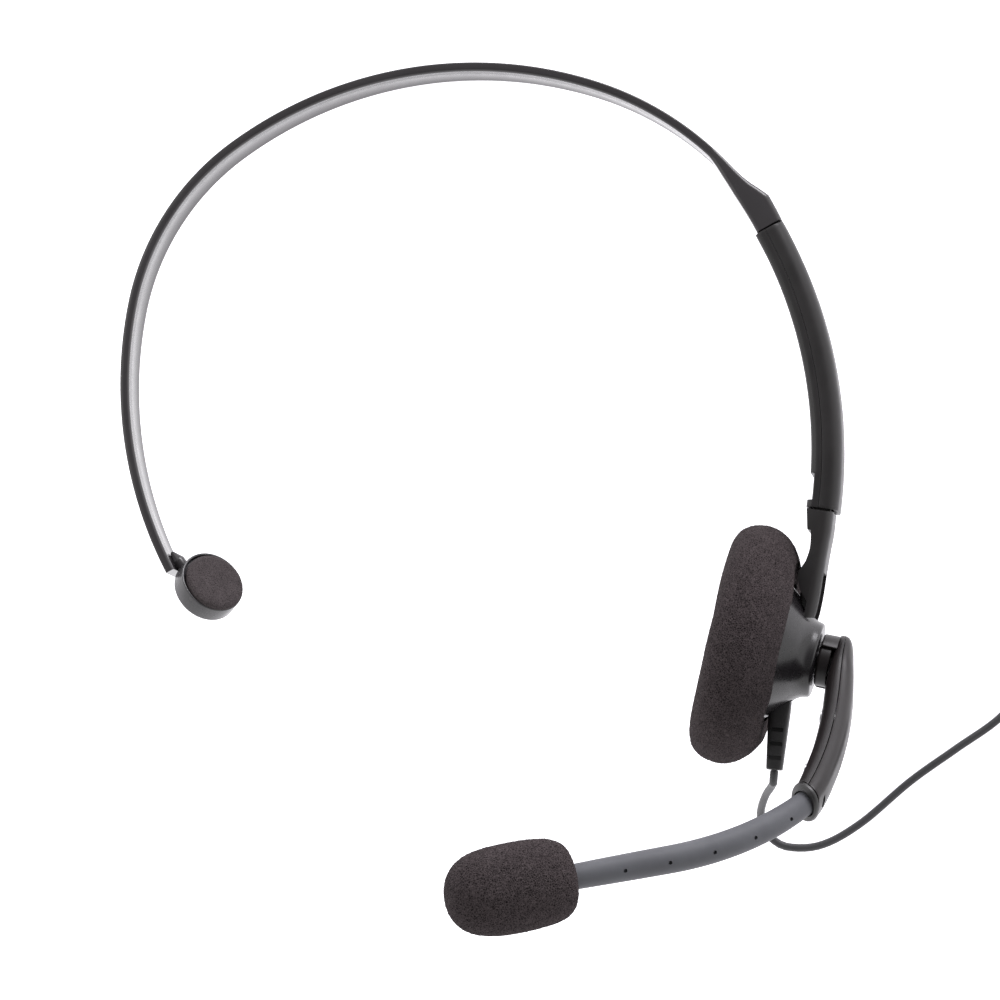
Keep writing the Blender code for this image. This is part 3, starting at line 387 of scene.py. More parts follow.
def foam(name, pore_shade, skin, cell=1.6, depth=0.35):
    """Open-cell foam: lighter struts, with shade painted into the dark pores between them."""
    made, nodes, links, shader, where = look(name)
    warp = nodes.new("ShaderNodeTexNoise")
    warp.inputs["Scale"].default_value = 1.1
    links.new(where, warp.inputs["Vector"])
    bend = nodes.new("ShaderNodeMix")
    bend.data_type = "VECTOR"
    bend.inputs[0].default_value = 0.35
    links.new(where, bend.inputs[4])
    shift = nodes.new("ShaderNodeVectorMath")
    shift.operation = "ADD"
    links.new(where, shift.inputs[0])
    links.new(warp.outputs["Color"], shift.inputs[1])
    links.new(shift.outputs[0], bend.inputs[5])
    cells = nodes.new("ShaderNodeTexVoronoi")
    cells.feature = "DISTANCE_TO_EDGE"
    cells.inputs["Scale"].default_value = cell
    links.new(bend.outputs[1], cells.inputs["Vector"])
    fine = noise_node(nodes, links, where, cell * 1.25, 2.0, 0.8)
    drift = noise_node(nodes, links, where, 0.35, 3.0)
    strut = ramp(nodes, links, cells.outputs["Distance"], ((0.02, 1.0), (0.3, 0.0)))
    mixed = nodes.new("ShaderNodeMath")
    mixed.operation = "MULTIPLY_ADD"
    links.new(strut, mixed.inputs[0])
    mixed.inputs[1].default_value = 0.4
    links.new(fine, mixed.inputs[2])
    shade = nodes.new("ShaderNodeMath")
    shade.operation = "MULTIPLY"
    links.new(mixed.outputs[0], shade.inputs[0])
    lift = ramp(nodes, links, drift, ((0.3, 0.9), (0.7, 1.06)))
    links.new(lift, shade.inputs[1])
    # pore_shade is painted shade in the pores; skin is the struts' own colour
    links.new(ramp(nodes, links, shade.outputs[0], ((0.3, pore_shade), (0.95, skin))), shader.inputs["Base Color"])
    links.new(bump(nodes, links, mixed.outputs[0], 1.0, depth), shader.inputs["Normal"])
    shader.inputs["Roughness"].default_value = 0.95
    shader.inputs["Specular IOR Level"].default_value = 0.05
    return made


def metal(name, colour, rough_low=0.22, rough_high=0.4):
    """Turned or stamped metal with uneven polish."""
    made, nodes, links, shader, where = look(name)
    drift = noise_node(nodes, links, where, 0.8, 4.0, 0.6)
    dark = tuple(c * 0.8 for c in colour)
    links.new(ramp(nodes, links, drift, ((0.3, dark), (0.7, colour))), shader.inputs["Base Color"])
    links.new(ramp(nodes, links, drift, ((0.3, rough_low), (0.75, rough_high))), shader.inputs["Roughness"])
    shader.inputs["Metallic"].default_value = 1.0
    fine = noise_node(nodes, links, where, 6.0, 2.0)
    links.new(bump(nodes, links, fine, 0.3, 0.01), shader.inputs["Normal"])
    return made


RECIPES = {
    "gloss_black": (plastic, (0.0105, 0.0095, 0.0105), (0.0145, 0.013, 0.0145), 0.22, 0.32, 0.008),
    "shell_plastic": (plastic, (0.0105, 0.0094, 0.0098), (0.0145, 0.0128, 0.0134), 0.38, 0.48, 0.012, 0.4),
    "boom_plastic": (plastic, (0.0105, 0.0085, 0.0088), (0.0145, 0.0118, 0.0122), 0.3, 0.4, 0.01, 0.25),
    "band_plastic": (plastic, (0.029, 0.0267, 0.0285), (0.036, 0.0332, 0.0355), 0.16, 0.24, 0.006),
    "satin_black": (plastic, (0.014, 0.0132, 0.0138), (0.02, 0.019, 0.0195), 0.32, 0.44, 0.02),
    "holder_plastic": (plastic, (0.03, 0.029, 0.031), (0.04, 0.038, 0.041), 0.2, 0.3, 0.008),
    "soft_rubber": (rubber, (0.07, 0.071, 0.08), (0.086, 0.088, 0.098)),
    "relief_rubber": (rubber, (0.016, 0.0155, 0.016), (0.024, 0.023, 0.024), 0.5),
    # the foams' first colour is painted shade in their pores, the second is their own colour
    "open_foam": (foam, (0.001, 0.0008, 0.0008), (0.066, 0.054, 0.056), 1.9, 0.34),
    "fine_foam": (foam, (0.014, 0.012, 0.0125), (0.075, 0.064, 0.066), 2.6, 0.08),
    "cord_jacket": (rubber, (0.045, 0.045, 0.048), (0.058, 0.058, 0.062), 0.5, 0.012),
    "bright_steel": (metal, (0.62, 0.62, 0.63)),
    "black_steel": (metal, (0.02, 0.02, 0.021), 0.35, 0.5),
    "gold_contacts": (metal, (0.86, 0.66, 0.30), 0.15, 0.25),
    "clear_film": (plastic, (0.35, 0.36, 0.32), (0.45, 0.46, 0.42), 0.25, 0.35),
    "circuit_board": (plastic, (0.015, 0.10, 0.04), (0.02, 0.13, 0.055), 0.35, 0.5, 0.03),
    "tie_strap": (rubber, (0.018, 0.018, 0.019), (0.03, 0.03, 0.031), 0.8, 0.05),
}
LOOKS = {name: make(name, *recipe) for name, (make, *recipe) in RECIPES.items()}


# ==== cord ====
def even_points(points, spacing):
    """Points at an even spacing along a polyline, ends included."""
    points = [Vector(p) for p in points]
    total = sum((q - p).length for p, q in zip(points, points[1:]))
    count = max(2, round(total / spacing))
    picked, walked, wanted = [points[0]], 0.0, total / count
    for p, q in zip(points, points[1:]):
        step = (q - p).length
        while wanted <= walked + step and len(picked) < count:
            picked.append(p.lerp(q, (wanted - walked) / step))
            wanted += total / count
        walked += step
    return picked + [points[-1]]


COIL_CELLS = ((3, 0), (2, 0), (1, 0), (0, 0), (0, 1), (0, 2), (0, 3), (1, 3), (1, 2), (1, 1), (2, 1), (2, 2),
              (2, 3), (3, 3), (3, 2), (3, 1))
TIE_ANGLE = -90.0


def coil_points(start_angle, end_angle):
    """Turns side by side and on each other, clockwise seen from above; each change of turn is eased."""
    half, pitch = COIL_SIDE / 2, 2 * CORD_RADIUS
    spots = []
    total = start_angle - end_angle + 360.0 * (len(COIL_CELLS) - 1)
    steps = int(total / 9)
    for k in range(steps + 1):
        gone = total * k / steps
        turn, part = divmod(gone, 360.0)
        turn = min(int(turn), len(COIL_CELLS) - 1)
        now = COIL_CELLS[turn]
        then = COIL_CELLS[min(turn + 1, len(COIL_CELLS) - 1)]
        ease = min(max((part - 250.0) / 100.0, 0.0), 1.0) if turn < len(COIL_CELLS) - 1 else 0.0
        ease = ease * ease * (3 - 2 * ease)
        radial = -half + pitch * (now[0] + 0.5 + (then[0] - now[0]) * ease)
        height = -half + pitch * (now[1] + 0.5 + (then[1] - now[1]) * ease)
        angle = start_angle - gone
        off = (angle - TIE_ANGLE + 180.0) % 360.0 - 180.0
        squeeze = 1.0 - 0.115 * max(0.0, 1.0 - (off / 40.0) ** 2) ** 2
        spot = polar(angle, COIL_MIDDLE_RADIUS + radial * squeeze, COIL_CENTRE)
        spots.append(Vector((spot.x, spot.y, half + height * squeeze)))
    return spots


def cords():
    """The cord from the strain relief to the plug, and the pieces on it."""
    top, bottom = Vector((*RELIEF_TOP, 0)), Vector((*RELIEF_BOTTOM, 0))
    exit_way = (bottom - top).normalized()
    to_mm = WORLD.inverted() @ CUP
    leaving = [to_mm @ (bottom + exit_way * d) for d in (GAP, 3.0)]
    free = curve_through([*leaving, *CORD_ROUTE], 16)
    coil = coil_points(140.5, 0.0)
    last = coil[-1]
    tail = [Vector((last.x, last.y - d, last.z + (PLUG_RADIUS - last.z) * d / PLUG_FROM_COIL))
            for d in (3.0, 6.0, PLUG_FROM_COIL - 0.15)]
    route = even_points([Vector(p) for p in free], 1.6) + coil + tail
    curve = bpy.data.curves.new("cord", "CURVE")
    curve.dimensions = "3D"
    curve.bevel_depth = CORD_RADIUS * MM
    curve.bevel_resolution = 3
    curve.use_fill_caps = True
    spline = curve.splines.new("POLY")
    spline.points.add(len(route) - 1)
    for slot, point in zip(spline.points, route):
        slot.co = (*(point * MM), 1.0)
    spline.use_smooth = True
    curve.materials.append(LOOKS["cord_jacket"])
    cable = bpy.data.objects.new("cord", curve)
    bpy.context.scene.collection.objects.link(cable)
    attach(cable, "ear_cup")
    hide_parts("cord_tube", "cord_coil")
    tie = coil_tie()
    plugs = plug()


def coil_tie():
    """A hook-and-loop strap round the coil's turns."""
    centre = Vector((*polar(TIE_ANGLE, COIL_MIDDLE_RADIUS, COIL_CENTRE), COIL_SIDE / 2))
    loops = []
    for size in (3.98, 3.62):
        corner = 1.5
        outline = []
        for cx, cy, start in ((1, 1, 0), (-1, 1, 90), (-1, -1, 180), (1, -1, 270)):
            for k in range(7):
                spot = polar(start + 15 * k, corner)
                outline.append((cx * (size - corner) + spot.x, cy * (size - corner) + spot.y))
        loops.append(outline)
    bm = bmesh.new()
    rings = []
    for outline, x in ((loops[0], -1.5), (loops[0], 1.5), (loops[1], 1.5), (loops[1], -1.5)):
        rings.append([bm.verts.new(centre + Vector((x, y, z))) for y, z in outline])
    for one, two in zip(rings, rings[1:] + rings[:1]):
        bridge(bm, one, two)
    tie = place("coil_tie", bm, WORLD, LOOKS["tie_strap"], "ear_cup", nodes=["cord_tie"])
    round_edges(tie, 0.1, 2)
    return tie


def plug():
    """Generic round plug: ribbed boot, slightly waisted grip and a banded contact pin."""
    start = Vector((COIL_CENTRE[0] + COIL_MIDDLE_RADIUS + COIL_SIDE / 2 - CORD_RADIUS,
                    COIL_CENTRE[1] - PLUG_FROM_COIL, PLUG_RADIUS))
    turn = aim(start, (0, -1, 0))
    boot = [(0.05, 0), (0.05, 1.35)]
    for k in range(5):
        x = 0.6 + 1.55 * k
        r = 1.5 + 0.085 * x
        boot += [(x, r), (x + 0.85, r + 0.07), (x + 0.95, r - 0.3), (x + 1.45, r - 0.28)]
    boot += [(8.4, 2.2), (9.0, 2.28), (9.0, 0)]
    body = rounded([(9.3, 0), (9.3, 3.0), (10.2, 3.47), (14.5, 3.35), (20.5, 3.35), (25.4, 3.48),
                    (26.6, 2.9), (26.6, 0)], 0.5)
    tip = rounded([(26.9, 0), (26.9, 1.74), (32.3, 1.74), (32.35, 1.6), (32.85, 1.6), (32.9, 1.74),
                   (36.2, 1.74), (36.25, 1.6), (36.75, 1.6), (36.8, 1.74), (38.1, 1.74), (39.0, 1.2),
                   (40.3, 1.6), (41.2, 0.5), (41.25, 0)], 0.12, 2)
    made = [place("plug_boot_ribbed", lathe(boot, 48, None, turn), WORLD, LOOKS["relief_rubber"], "ear_cup",
                  nodes=["plug_boot"]),
            place("plug_grip", lathe(body, 64, None, turn), WORLD, LOOKS["satin_black"], "ear_cup",
                  nodes=["plug_body"]),
            place("plug_pin", lathe(tip, 48, None, turn), WORLD, LOOKS["gold_contacts"], "ear_cup",
                  nodes=["plug_tip"])]
    rings = bmesh.new()
    for x in (32.4, 36.3):
        lathe([(x, 1.3), (x, 1.68), (x + 0.4, 1.68), (x + 0.4, 1.3)], 48, rings, turn)
    made.append(place("plug_insulators", rings, WORLD, LOOKS["tie_strap"], "ear_cup"))
    return made


# ==== headband ====
def band_station(travel):
    """The outer face of the band after some degrees of travel: its point and its heading."""
    heading = BAND_HEADING
    point = Vector(BAND_START)
    for radius, sweep in BAND_ARCS:
        centre = point + polar(heading + 90, radius)
        turned = min(travel, sweep)
        point = centre + polar(heading - 90 + turned, radius)
        heading += turned
        travel -= turned
        if travel <= 0:
            break
    return point, heading


def block_profile(travel):
    """End block at a travel: proud outside, proud inside, half width and edge chamfer."""
    stages = ((0.0, 2.1, 2.5, 6.9, 1.2), (5.0, 2.6, 2.2, 6.9, 1.2), (6.6, 1.85, 2.1, 6.88, 1.1),
              (8.6, 0.85, 1.9, 6.8, 1.0), (10.3, 0.3, 1.6, 6.7, 0.85), (12.6, 0.0, 1.15, 6.6, 0.7),
              (15.0, 0.0, 0.5, 6.4, 0.6), (BLOCK_END, 0.0, 0.0, STRIP_HALF_WIDTH, 0.55))
    for low, high in zip(stages, stages[1:]):
        if travel <= high[0]:
            share = (travel - low[0]) / (high[0] - low[0])
            return [a + (b - a) * share for a, b in zip(low[1:], high[1:])]
    return [0.0, 0.0, STRIP_HALF_WIDTH, 0.35]


def band_section(outer, inward, thick, half_width, chamfer, groove):
    """A strip with rounded edges and a very shallow channel between two rims on its inside."""
    def corner(u, v, wide, high, start):
        turn = [polar(start - 22.5 * k) for k in range(5)]
        return [(u + wide * spot.x, v + high * spot.y) for spot in turn]

    w, c, e, r, floor_at = half_width, chamfer, chamfer * 1.15, 0.75, thick - groove
    points = [(0.45 * c, -w + c), (0, -w + 2.2 * c), (0, w - 2.2 * c), (0.45 * c, w - c)]
    points += corner(e, w - c, e, c, 180) + corner(thick - r, w - r, r, r, 90)
    points += [(thick, w - r - 0.75), (floor_at, w - r - 1.0), (floor_at, -w + 1.1), (thick, -w + 0.8)]
    points += corner(thick - 0.25, -w + 0.25, 0.25, 0.25, 0) + corner(e, -w + c, e, c, -90)
    return [(*(outer + inward * u), v) for u, v in points]


def headband():
    """The tongue inside the sleeve, the end block, the strip and the knuckle at its free end."""
    sections = []
    for k in range(5):
        angle = 22.0 + (SLEEVE_HIGH + 0.15 - 22.0) * k / 4
        outer = polar(angle, SLEEVE_OUTER - 1.8, SLEEVE_CENTRE)
        sections.append(band_section(outer, -polar(angle), 4.2, 5.2, 0.4, 0.01))
    total = sum(sweep for _, sweep in BAND_ARCS) - 0.05
    travels = [0.35, 0.36, 1.2, 2.4, 3.6, 4.6, 5.0, 5.4, 6.2, 7.2, 8.2, 8.6, 9.0, 10.0, 11.0, 12.3, 13.4,
               15.0, 16.2, BLOCK_END]
    stations = 200
    travels += [BLOCK_END + (total - BLOCK_END) * k / stations for k in range(1, stations + 1)]
    for travel in travels:
        outer, heading = band_station(travel)
        outward, proud_in, half_width, chamfer = block_profile(travel)
        inward = polar(heading + 90)
        thick = outward + STRIP_THICK + proud_in
        groove = 0.01 if travel < 16 else min(0.08, 0.01 + 0.05 * (travel - 16))
        sections.append(band_section(outer - inward * outward, inward, thick, half_width, chamfer, groove))
    strip = place("headband", loft(sections), DESIGN, LOOKS["band_plastic"], "headband",
                  nodes=["headband_strip"])
    to_design = DESIGN.inverted() @ PAD
    knuckle = lathe(rounded([(-13.6, 0), (-13.6, 0.4), (-10.9, 1.7), (-8.6, 1.7), (-8.6, 0)], 0.3), 32, None,
                    to_design @ Matrix.Rotation(pi / 2, 4, "Z"))
    boolean(strip, knuckle, DESIGN, "UNION")
    strip.data.set_sharp_from_angle(angle=radians(38))


# ==== sleeve ====
def sleeve_sweep(low, high, section, steps):
    """A section of (radius, z) swept along the sleeve's arc."""
    angles = [low + (high - low) * k / steps for k in range(steps + 1)]
    return loft([[(*polar(angle, radius), z) for radius, z in section] for angle in angles])


def channel(floor, lip, half_width, wall, radius):
    """A U-shaped cross-section whose floor is at one radius and whose open lips are at another."""
    side = 1 if floor > lip else -1
    inner = floor - side * wall
    z = half_width
    turn = [polar(90 - 11.25 * k, radius) for k in range(9)]
    top = [(floor - side * (radius - spot.x), z - radius + spot.y) for spot in turn]
    below = [(r, -height) for r, height in top[::-1]]
    return ([(lip, z)] + top + below + [(lip, -z), (lip, -z + wall), (inner, -z + wall), (inner, z - wall),
                                        (lip, z - wall)])


def sleeve():
    """Two half shells; the inner one has a shallow relief and a small stop at its lower end."""
    outer = channel(SLEEVE_OUTER, SLEEVE_SEAM + 0.03, SLEEVE_HALF_WIDTH, 1.4, 3.1)
    shell = place("sleeve_outer_shell", sleeve_sweep(SLEEVE_LOW, SLEEVE_HIGH, outer, 90), SLEEVE,
                  LOOKS["shell_plastic"], "headband", nodes=["sleeve_outer"])
    round_edges(shell, 0.16, 3)

    def relief(angle, radius):
        if radius > SLEEVE_INNER + 1.3:
            return radius
        above = angle - SLEEVE_LOW
        if above < STOP_TOP:
            return radius + 0.05
        return radius + (1.15 if above < NOTCH_TOP else 0.3)

    inner = channel(SLEEVE_INNER, SLEEVE_SEAM - 0.03, SLEEVE_HALF_WIDTH, 1.4, 1.5)
    steps = [SLEEVE_LOW + (SLEEVE_HIGH - SLEEVE_LOW) * k / 120 for k in range(121)]
    steps += [SLEEVE_LOW + at + side * 0.04 for at in (STOP_TOP, NOTCH_TOP) for side in (-1, 1)]
    loops = [[(*polar(angle, relief(angle, r)), z) for r, z in inner] for angle in sorted(steps)]
    cover = place("sleeve_inner_shell", loft(loops), SLEEVE, LOOKS["shell_plastic"], "headband",
                  nodes=["sleeve_inner"])
    heads = bmesh.new()
    for angle in SLEEVE_SCREWS:
        cylinder((*polar(angle, SLEEVE_INNER - 1.0), 0), (*polar(angle), 0), 1.9, 1.8, 32, heads)
    boolean(cover, heads, SLEEVE)
    holes = bmesh.new()
    for angle in SLEEVE_SCREWS:
        cylinder((*polar(angle, SLEEVE_INNER + 0.4), 0), (*polar(angle), 0), 1.0, 3.0, 24, holes)
    boolean(cover, holes, SLEEVE)
    round_edges(cover, 0.1, 2)
    for number, angle in enumerate(SLEEVE_SCREWS, 1):
        start = (*polar(angle, SLEEVE_INNER + 0.25), 0)
        screw_head("sleeve_screw_head_%d" % number, aim(start, (*polar(angle), 0)), SLEEVE, "headband",
                   "sleeve_screw_%d" % number, 1.6, 0.45, 0.75, 4.6)


def screw_head(name, turn, matrix, body, node, radius, height, shank, length):
    """A small cross-recessed screw."""
    profile = rounded([(0, 0), (0, radius), (height, radius), (height, shank), (length, shank),
                       (length, 0)], 0.12)
    screw = place(name, lathe(profile, 40, None, turn), matrix, LOOKS["bright_steel"], body, nodes=[node])
    cross = bmesh.new()
    wide, thin = radius * 0.62, radius * 0.14
    for y, z in ((wide, thin), (thin, wide)):
        loft([[turn @ Vector((x, a * y, b * z)) for a, b in ((-1, -1), (1, -1), (1, 1), (-1, 1))]
              for x in (-0.2, height * 0.6)], cross)
    boolean(screw, cross, matrix, crossing=True)


# ==== ear arm ====
def cup_point(axial, up):
    return Vector(CUP_CENTRE[:2]) + polar(CUP_TILT, axial) + polar(CUP_TILT + 90, up)


def arm_outline():
    """The ear arm's outline, smooth except at its corners and along its flat upper end."""
    outline = []
    count = len(ARM_OUTLINE)
    for k in range(count):
        a, b, c, d = (np.array(ARM_OUTLINE[(k + m) % count]) for m in (-1, 0, 1, 2))
        a = b if k in ARM_CORNERS else a
        d = c if (k + 1) % count in ARM_CORNERS else d
        steps = 1 if k == 0 else 5
        outline += [tuple(catmull_rom(a, b, c, d, m / steps)) for m in range(steps)]
    return outline


def arm_blade():
    """The outline through the arm's width, with its outer edges rounded to an arc."""
    outline = arm_outline()
    layers = []
    for k in range(9):
        spot = polar(90 - 11.25 * k, ARM_ROUNDING)
        inset = ARM_ROUNDING - spot.x
        shape = [(x - inset * min(1.0, max(0.0, (x - 80.5 - 0.16 * (y + 46)) / 2.4)), y) for x, y in outline]
        layers.append((SLEEVE_HALF_WIDTH - ARM_ROUNDING + spot.y, shape))
    layers = [(-z, shape) for z, shape in layers] + layers[::-1]
    return loft([[(x, y, z) for x, y in shape] for z, shape in layers])


def ear_arm():
    """The blade between the sleeve and the cup, with its neck, its fork and the pin across the fork."""
    arm = place("ear_arm_blade", arm_blade(), DESIGN, LOOKS["shell_plastic"], "ear_arm", nodes=["ear_arm"])
    round_edges(arm, 0.7, 4, 50)
    neck = [(109.9, -5.2), (113.9, -5.2), (113.9, 5.2), (109.9, 5.2)]
    boolean(arm, sleeve_sweep(SLEEVE_LOW - 1.2, SLEEVE_LOW + 1.6, neck, 6), SLEEVE, "UNION")
    fork = LUG_HALF_WIDTH + GAP
    boolean(arm, box((70, -56, -fork), (95, ARM_FORK_TOP, fork)), DESIGN)
    pin = (*cup_point(*TILT_PIN), 0)
    boolean(arm, cylinder((pin[0], pin[1], -9), (0, 0, 1), TILT_PIN_RADIUS + 0.07, 15.4, 40), DESIGN)
    radius, width = 111.9, 3.8 + GAP
    slot = [(radius - 0.9, -width), (radius + 0.9, -width), (radius + 0.9, width), (radius - 0.9, width)]
    boolean(arm, sleeve_sweep(SLEEVE_LOW - 3.8, SLEEVE_LOW + 2.4, slot, 6), SLEEVE)
    boolean(arm, cylinder((*polar(-10.2, 105.0), 0), (*polar(-10.2), 0), 1.1, 9.3, 32), SLEEVE)
    length = 2 * SLEEVE_HALF_WIDTH - 1.4
    bar = rounded([(-length / 2, 0), (-length / 2, TILT_PIN_RADIUS), (length / 2, TILT_PIN_RADIUS),
                   (length / 2, 0)], 0.2)
    turn = aim(pin, (0, 0, 1))
    place("tilt_pin_turned", lathe(bar, 40, None, turn), DESIGN, LOOKS["bright_steel"], "ear_arm",
          nodes=["tilt_pin"])


# ==== ear cup ====
def ear_cup():
    """The back shell with its cone, the lug for the tilt pin and the strain relief."""
    outer = rounded([(2.4, 23.3), (6.4, 23.3), (7.6, 22.2), (8.1, 20.6), (8.1, 16.8), (9.7, 15.6),
                     (11.6, 13.8), (13.4, 12.0), (14.8, 10.5), (16.2, 9.5), (18.0, 9.1), (18.4, 8.7),
                     (18.4, 3.3)], 0.8)
    inner = [(16.9, 3.3), (16.9, 7.6), (15.4, 8.4), (13.6, 9.6), (11.8, 11.6), (9.9, 13.6), (8.6, 14.6),
             (6.6, 15.4), (6.6, 21.6), (5.4, 22.6), (2.4, 22.6)]
    shell = place("cup_shell", lathe(outer + inner, 160), CUP, LOOKS["gloss_black"], "ear_cup",
                  nodes=["cup_back_shell"])
    pin_x, pin_y = TILT_PIN
    arc = [polar(angle, LUG_RADIUS, TILT_PIN) for angle in range(0, 200, 10)]
    outline = [(14.7, 8.9)] + arc + [(11.3, 12.8)]
    lug = place("lug", prism(outline, -LUG_HALF_WIDTH, LUG_HALF_WIDTH), CUP, None)
    round_edges(lug, 0.4, 3, 50)
    combine(shell, lug, "UNION", sharp=40)
    boolean(shell, cylinder((pin_x, pin_y, -8), (0, 0, 1), TILT_PIN_RADIUS + 0.07, 16, 40), CUP)
    boolean(shell, relief_shape([-5.0, 4.5], 0.25, 32), CUP)
    strain_relief()


def relief_axis():
    """The strain relief's top, its way down, the way across it and its length."""
    top, bottom = Vector(RELIEF_TOP), Vector(RELIEF_BOTTOM)
    length = (bottom - top).length
    along = (bottom - top) / length
    return top, along, Vector((-along.y, along.x)), length


def relief_shape(distances, margin=0.0, points=48):
    """The tapered relief between distances from its top, grown by a margin."""
    top, along, across, length = relief_axis()
    sections = []
    for distance in distances:
        share = max(distance, 0.0) / length
        half_x, half_z = 2.7 - 0.7 * share + margin, 2.6 - 0.6 * share + margin
        centre = top + along * distance
        loop = []
        for k in range(points):
            t = 2 * pi * k / points
            u, v = half_x * signed_power(cos(t), 0.6), half_z * signed_power(sin(t), 0.6)
            loop.append((*(centre + across * u), v))
        sections.append(loop)
    return loft(sections)


def strain_relief():
    """A tapered rubber sleeve with three slots through its skin on each side."""
    top, along, across, length = relief_axis()
    steps = [-2.4, -1, 0] + [length * k / 24 for k in range(1, 25)]
    relief = place("strain_relief_sleeve", relief_shape(steps), CUP, LOOKS["relief_rubber"], "ear_cup",
                   nodes=["strain_relief"])
    round_edges(relief, 0.3, 3, 50)
    slots = bmesh.new()
    for distance in (4.9, 8.3, 11.7):
        centre = top + along * distance
        for side in (-1, 1):
            corners = [centre + across * u + along * v
                       for u, v in ((-1.5, -0.5), (1.5, -0.5), (1.5, 0.5), (-1.5, 0.5))]
            prism(corners, min(side * 1.6, side * 4.0), max(side * 1.6, side * 4.0), slots)
    boolean(relief, slots, CUP)


# ==== foam ====
def smooth_profile(points, steps=10):
    return [tuple(p) for p in curve_through(points, steps)]


def foam_body(name, bm, matrix, body, nodes, look, cell, depth, sway):
    """A foam body whose skin is broken up by its cells and is slightly uneven."""
    bmesh.ops.recalc_face_normals(bm, faces=bm.faces)
    bm.normal_update()
    moves = []
    for vertex in bm.verts:
        spot = vertex.co
        slow = noise.noise(spot * 0.09) * sway
        pore = noise.noise(spot * (1.0 / cell)) * 0.6 + noise.noise(spot * (2.1 / cell)) * 0.4
        moves.append(vertex.normal * (slow + depth * pore - 0.45 * depth))
    for vertex, move in zip(bm.verts, moves):
        vertex.co += move
    made = place(name, bm, matrix, look, body, sharp=180, nodes=nodes)
    return made


def ear_cushion():
    """A foam disc drawn over the cup's rim.

    Its upper edge leans outward, and its back gives way beside the ear arm and the strain relief.
    """
    front = [(-8.65, 0), (-8.65, 6), (-8.65, 12), (-8.6, 17), (-8.45, 20.8), (-7.9, 24.2), (-6.5, 26.9),
             (-4.1, 28.6), (-1.0, 29.35), (1.8, 29.2), (4.3, 28.2), (6.4, 26.6), (8.1, 24.4), (9.4, 22.0),
             (10.3, 19.9), (10.6, 18.2), (10.2, 17.2), (9.4, 16.95), (8.9, 17.5)]
    profile = [(x, max(r, 0.0)) for x, r in smooth_profile(front, 9)]
    profile[0] = (profile[0][0], 0)
    profile += [(8.9, 20.5), (7.0, 23.9), (2.0, 24.0), (2.0, 12.0), (2.0, 0)]

    def give_way(spot):
        spot.x += 0.095 * max(0.0, spot.z) * min(1.0, max(0.0, (2.0 - spot.x) / 10.65))
        near = min(1.0, max(0.0, (14.0 - abs(spot.z)) / 6.0))
        high = min(1.0, max(0.0, (abs(spot.y) - 7.0) / 6.0)) * near
        spot.x -= high * max(0.0, spot.x - 9.15)
        return spot

    ring = lathe(profile, 420)
    for vertex in ring.verts:
        vertex.co = give_way(vertex.co.copy())
    foam_body("ear_cushion_foam", ring, CUP, "ear_cup", ["ear_cushion"], LOOKS["open_foam"], 0.62, 0.2, 0.3)


def flex_point(s):
    """The flexible boom's middle line: the point at a distance s along it, and the way it runs."""
    bend = radians(BOOM_HEADING_START - BOOM_HEADING_END)
    turned = min(max(s, 0.0), BOOM_BEND_RADIUS * bend) / BOOM_BEND_RADIUS
    h0 = radians(BOOM_HEADING_START)
    h1 = h0 - turned
    rest = s - turned * BOOM_BEND_RADIUS
    axial = BOOM_START[0] - BOOM_BEND_RADIUS * (sin(h0) - sin(h1)) - rest * cos(h1)
    radial = BOOM_START[1] + BOOM_BEND_RADIUS * (cos(h1) - cos(h0)) + rest * sin(h1)
    return Vector((axial, radial, 0)), Vector((-cos(h1), sin(h1), 0))


def windscreen():
    """The egg-shaped foam over the microphone, hollow where the boom goes in."""
    start, along = flex_point(WINDSCREEN_FROM)
    length = WINDSCREEN_TO - WINDSCREEN_FROM
    egg = [(0.998, 0), (0.988, 0.3), (0.95, 0.56), (0.875, 0.78), (0.765, 0.92), (0.62, 0.988), (0.46, 1.0),
           (0.3, 0.985), (0.15, 0.93), (0.055, 0.82), (0.01, 0.66), (0.012, 0.45)]
    outer = smooth_profile([(length * x, WINDSCREEN_RADIUS * r * 0.985) for x, r in egg], 11)
    outer = [(x, max(r, 0.0)) for x, r in outer]
    outer[0] = (outer[0][0], 0)
    pocket = LINK_ENDS[-1] + GAP + 20.0 - WINDSCREEN_FROM + 0.4
    profile = outer + [(0.6, 4.4), (pocket, 4.5), (pocket, 0)]
    foam_body("windscreen_foam", lathe(profile, 300, None, aim(start, along)), BOOM, "boom_tip",
              ["windscreen"], LOOKS["open_foam"], 0.6, 0.2, 0.25)


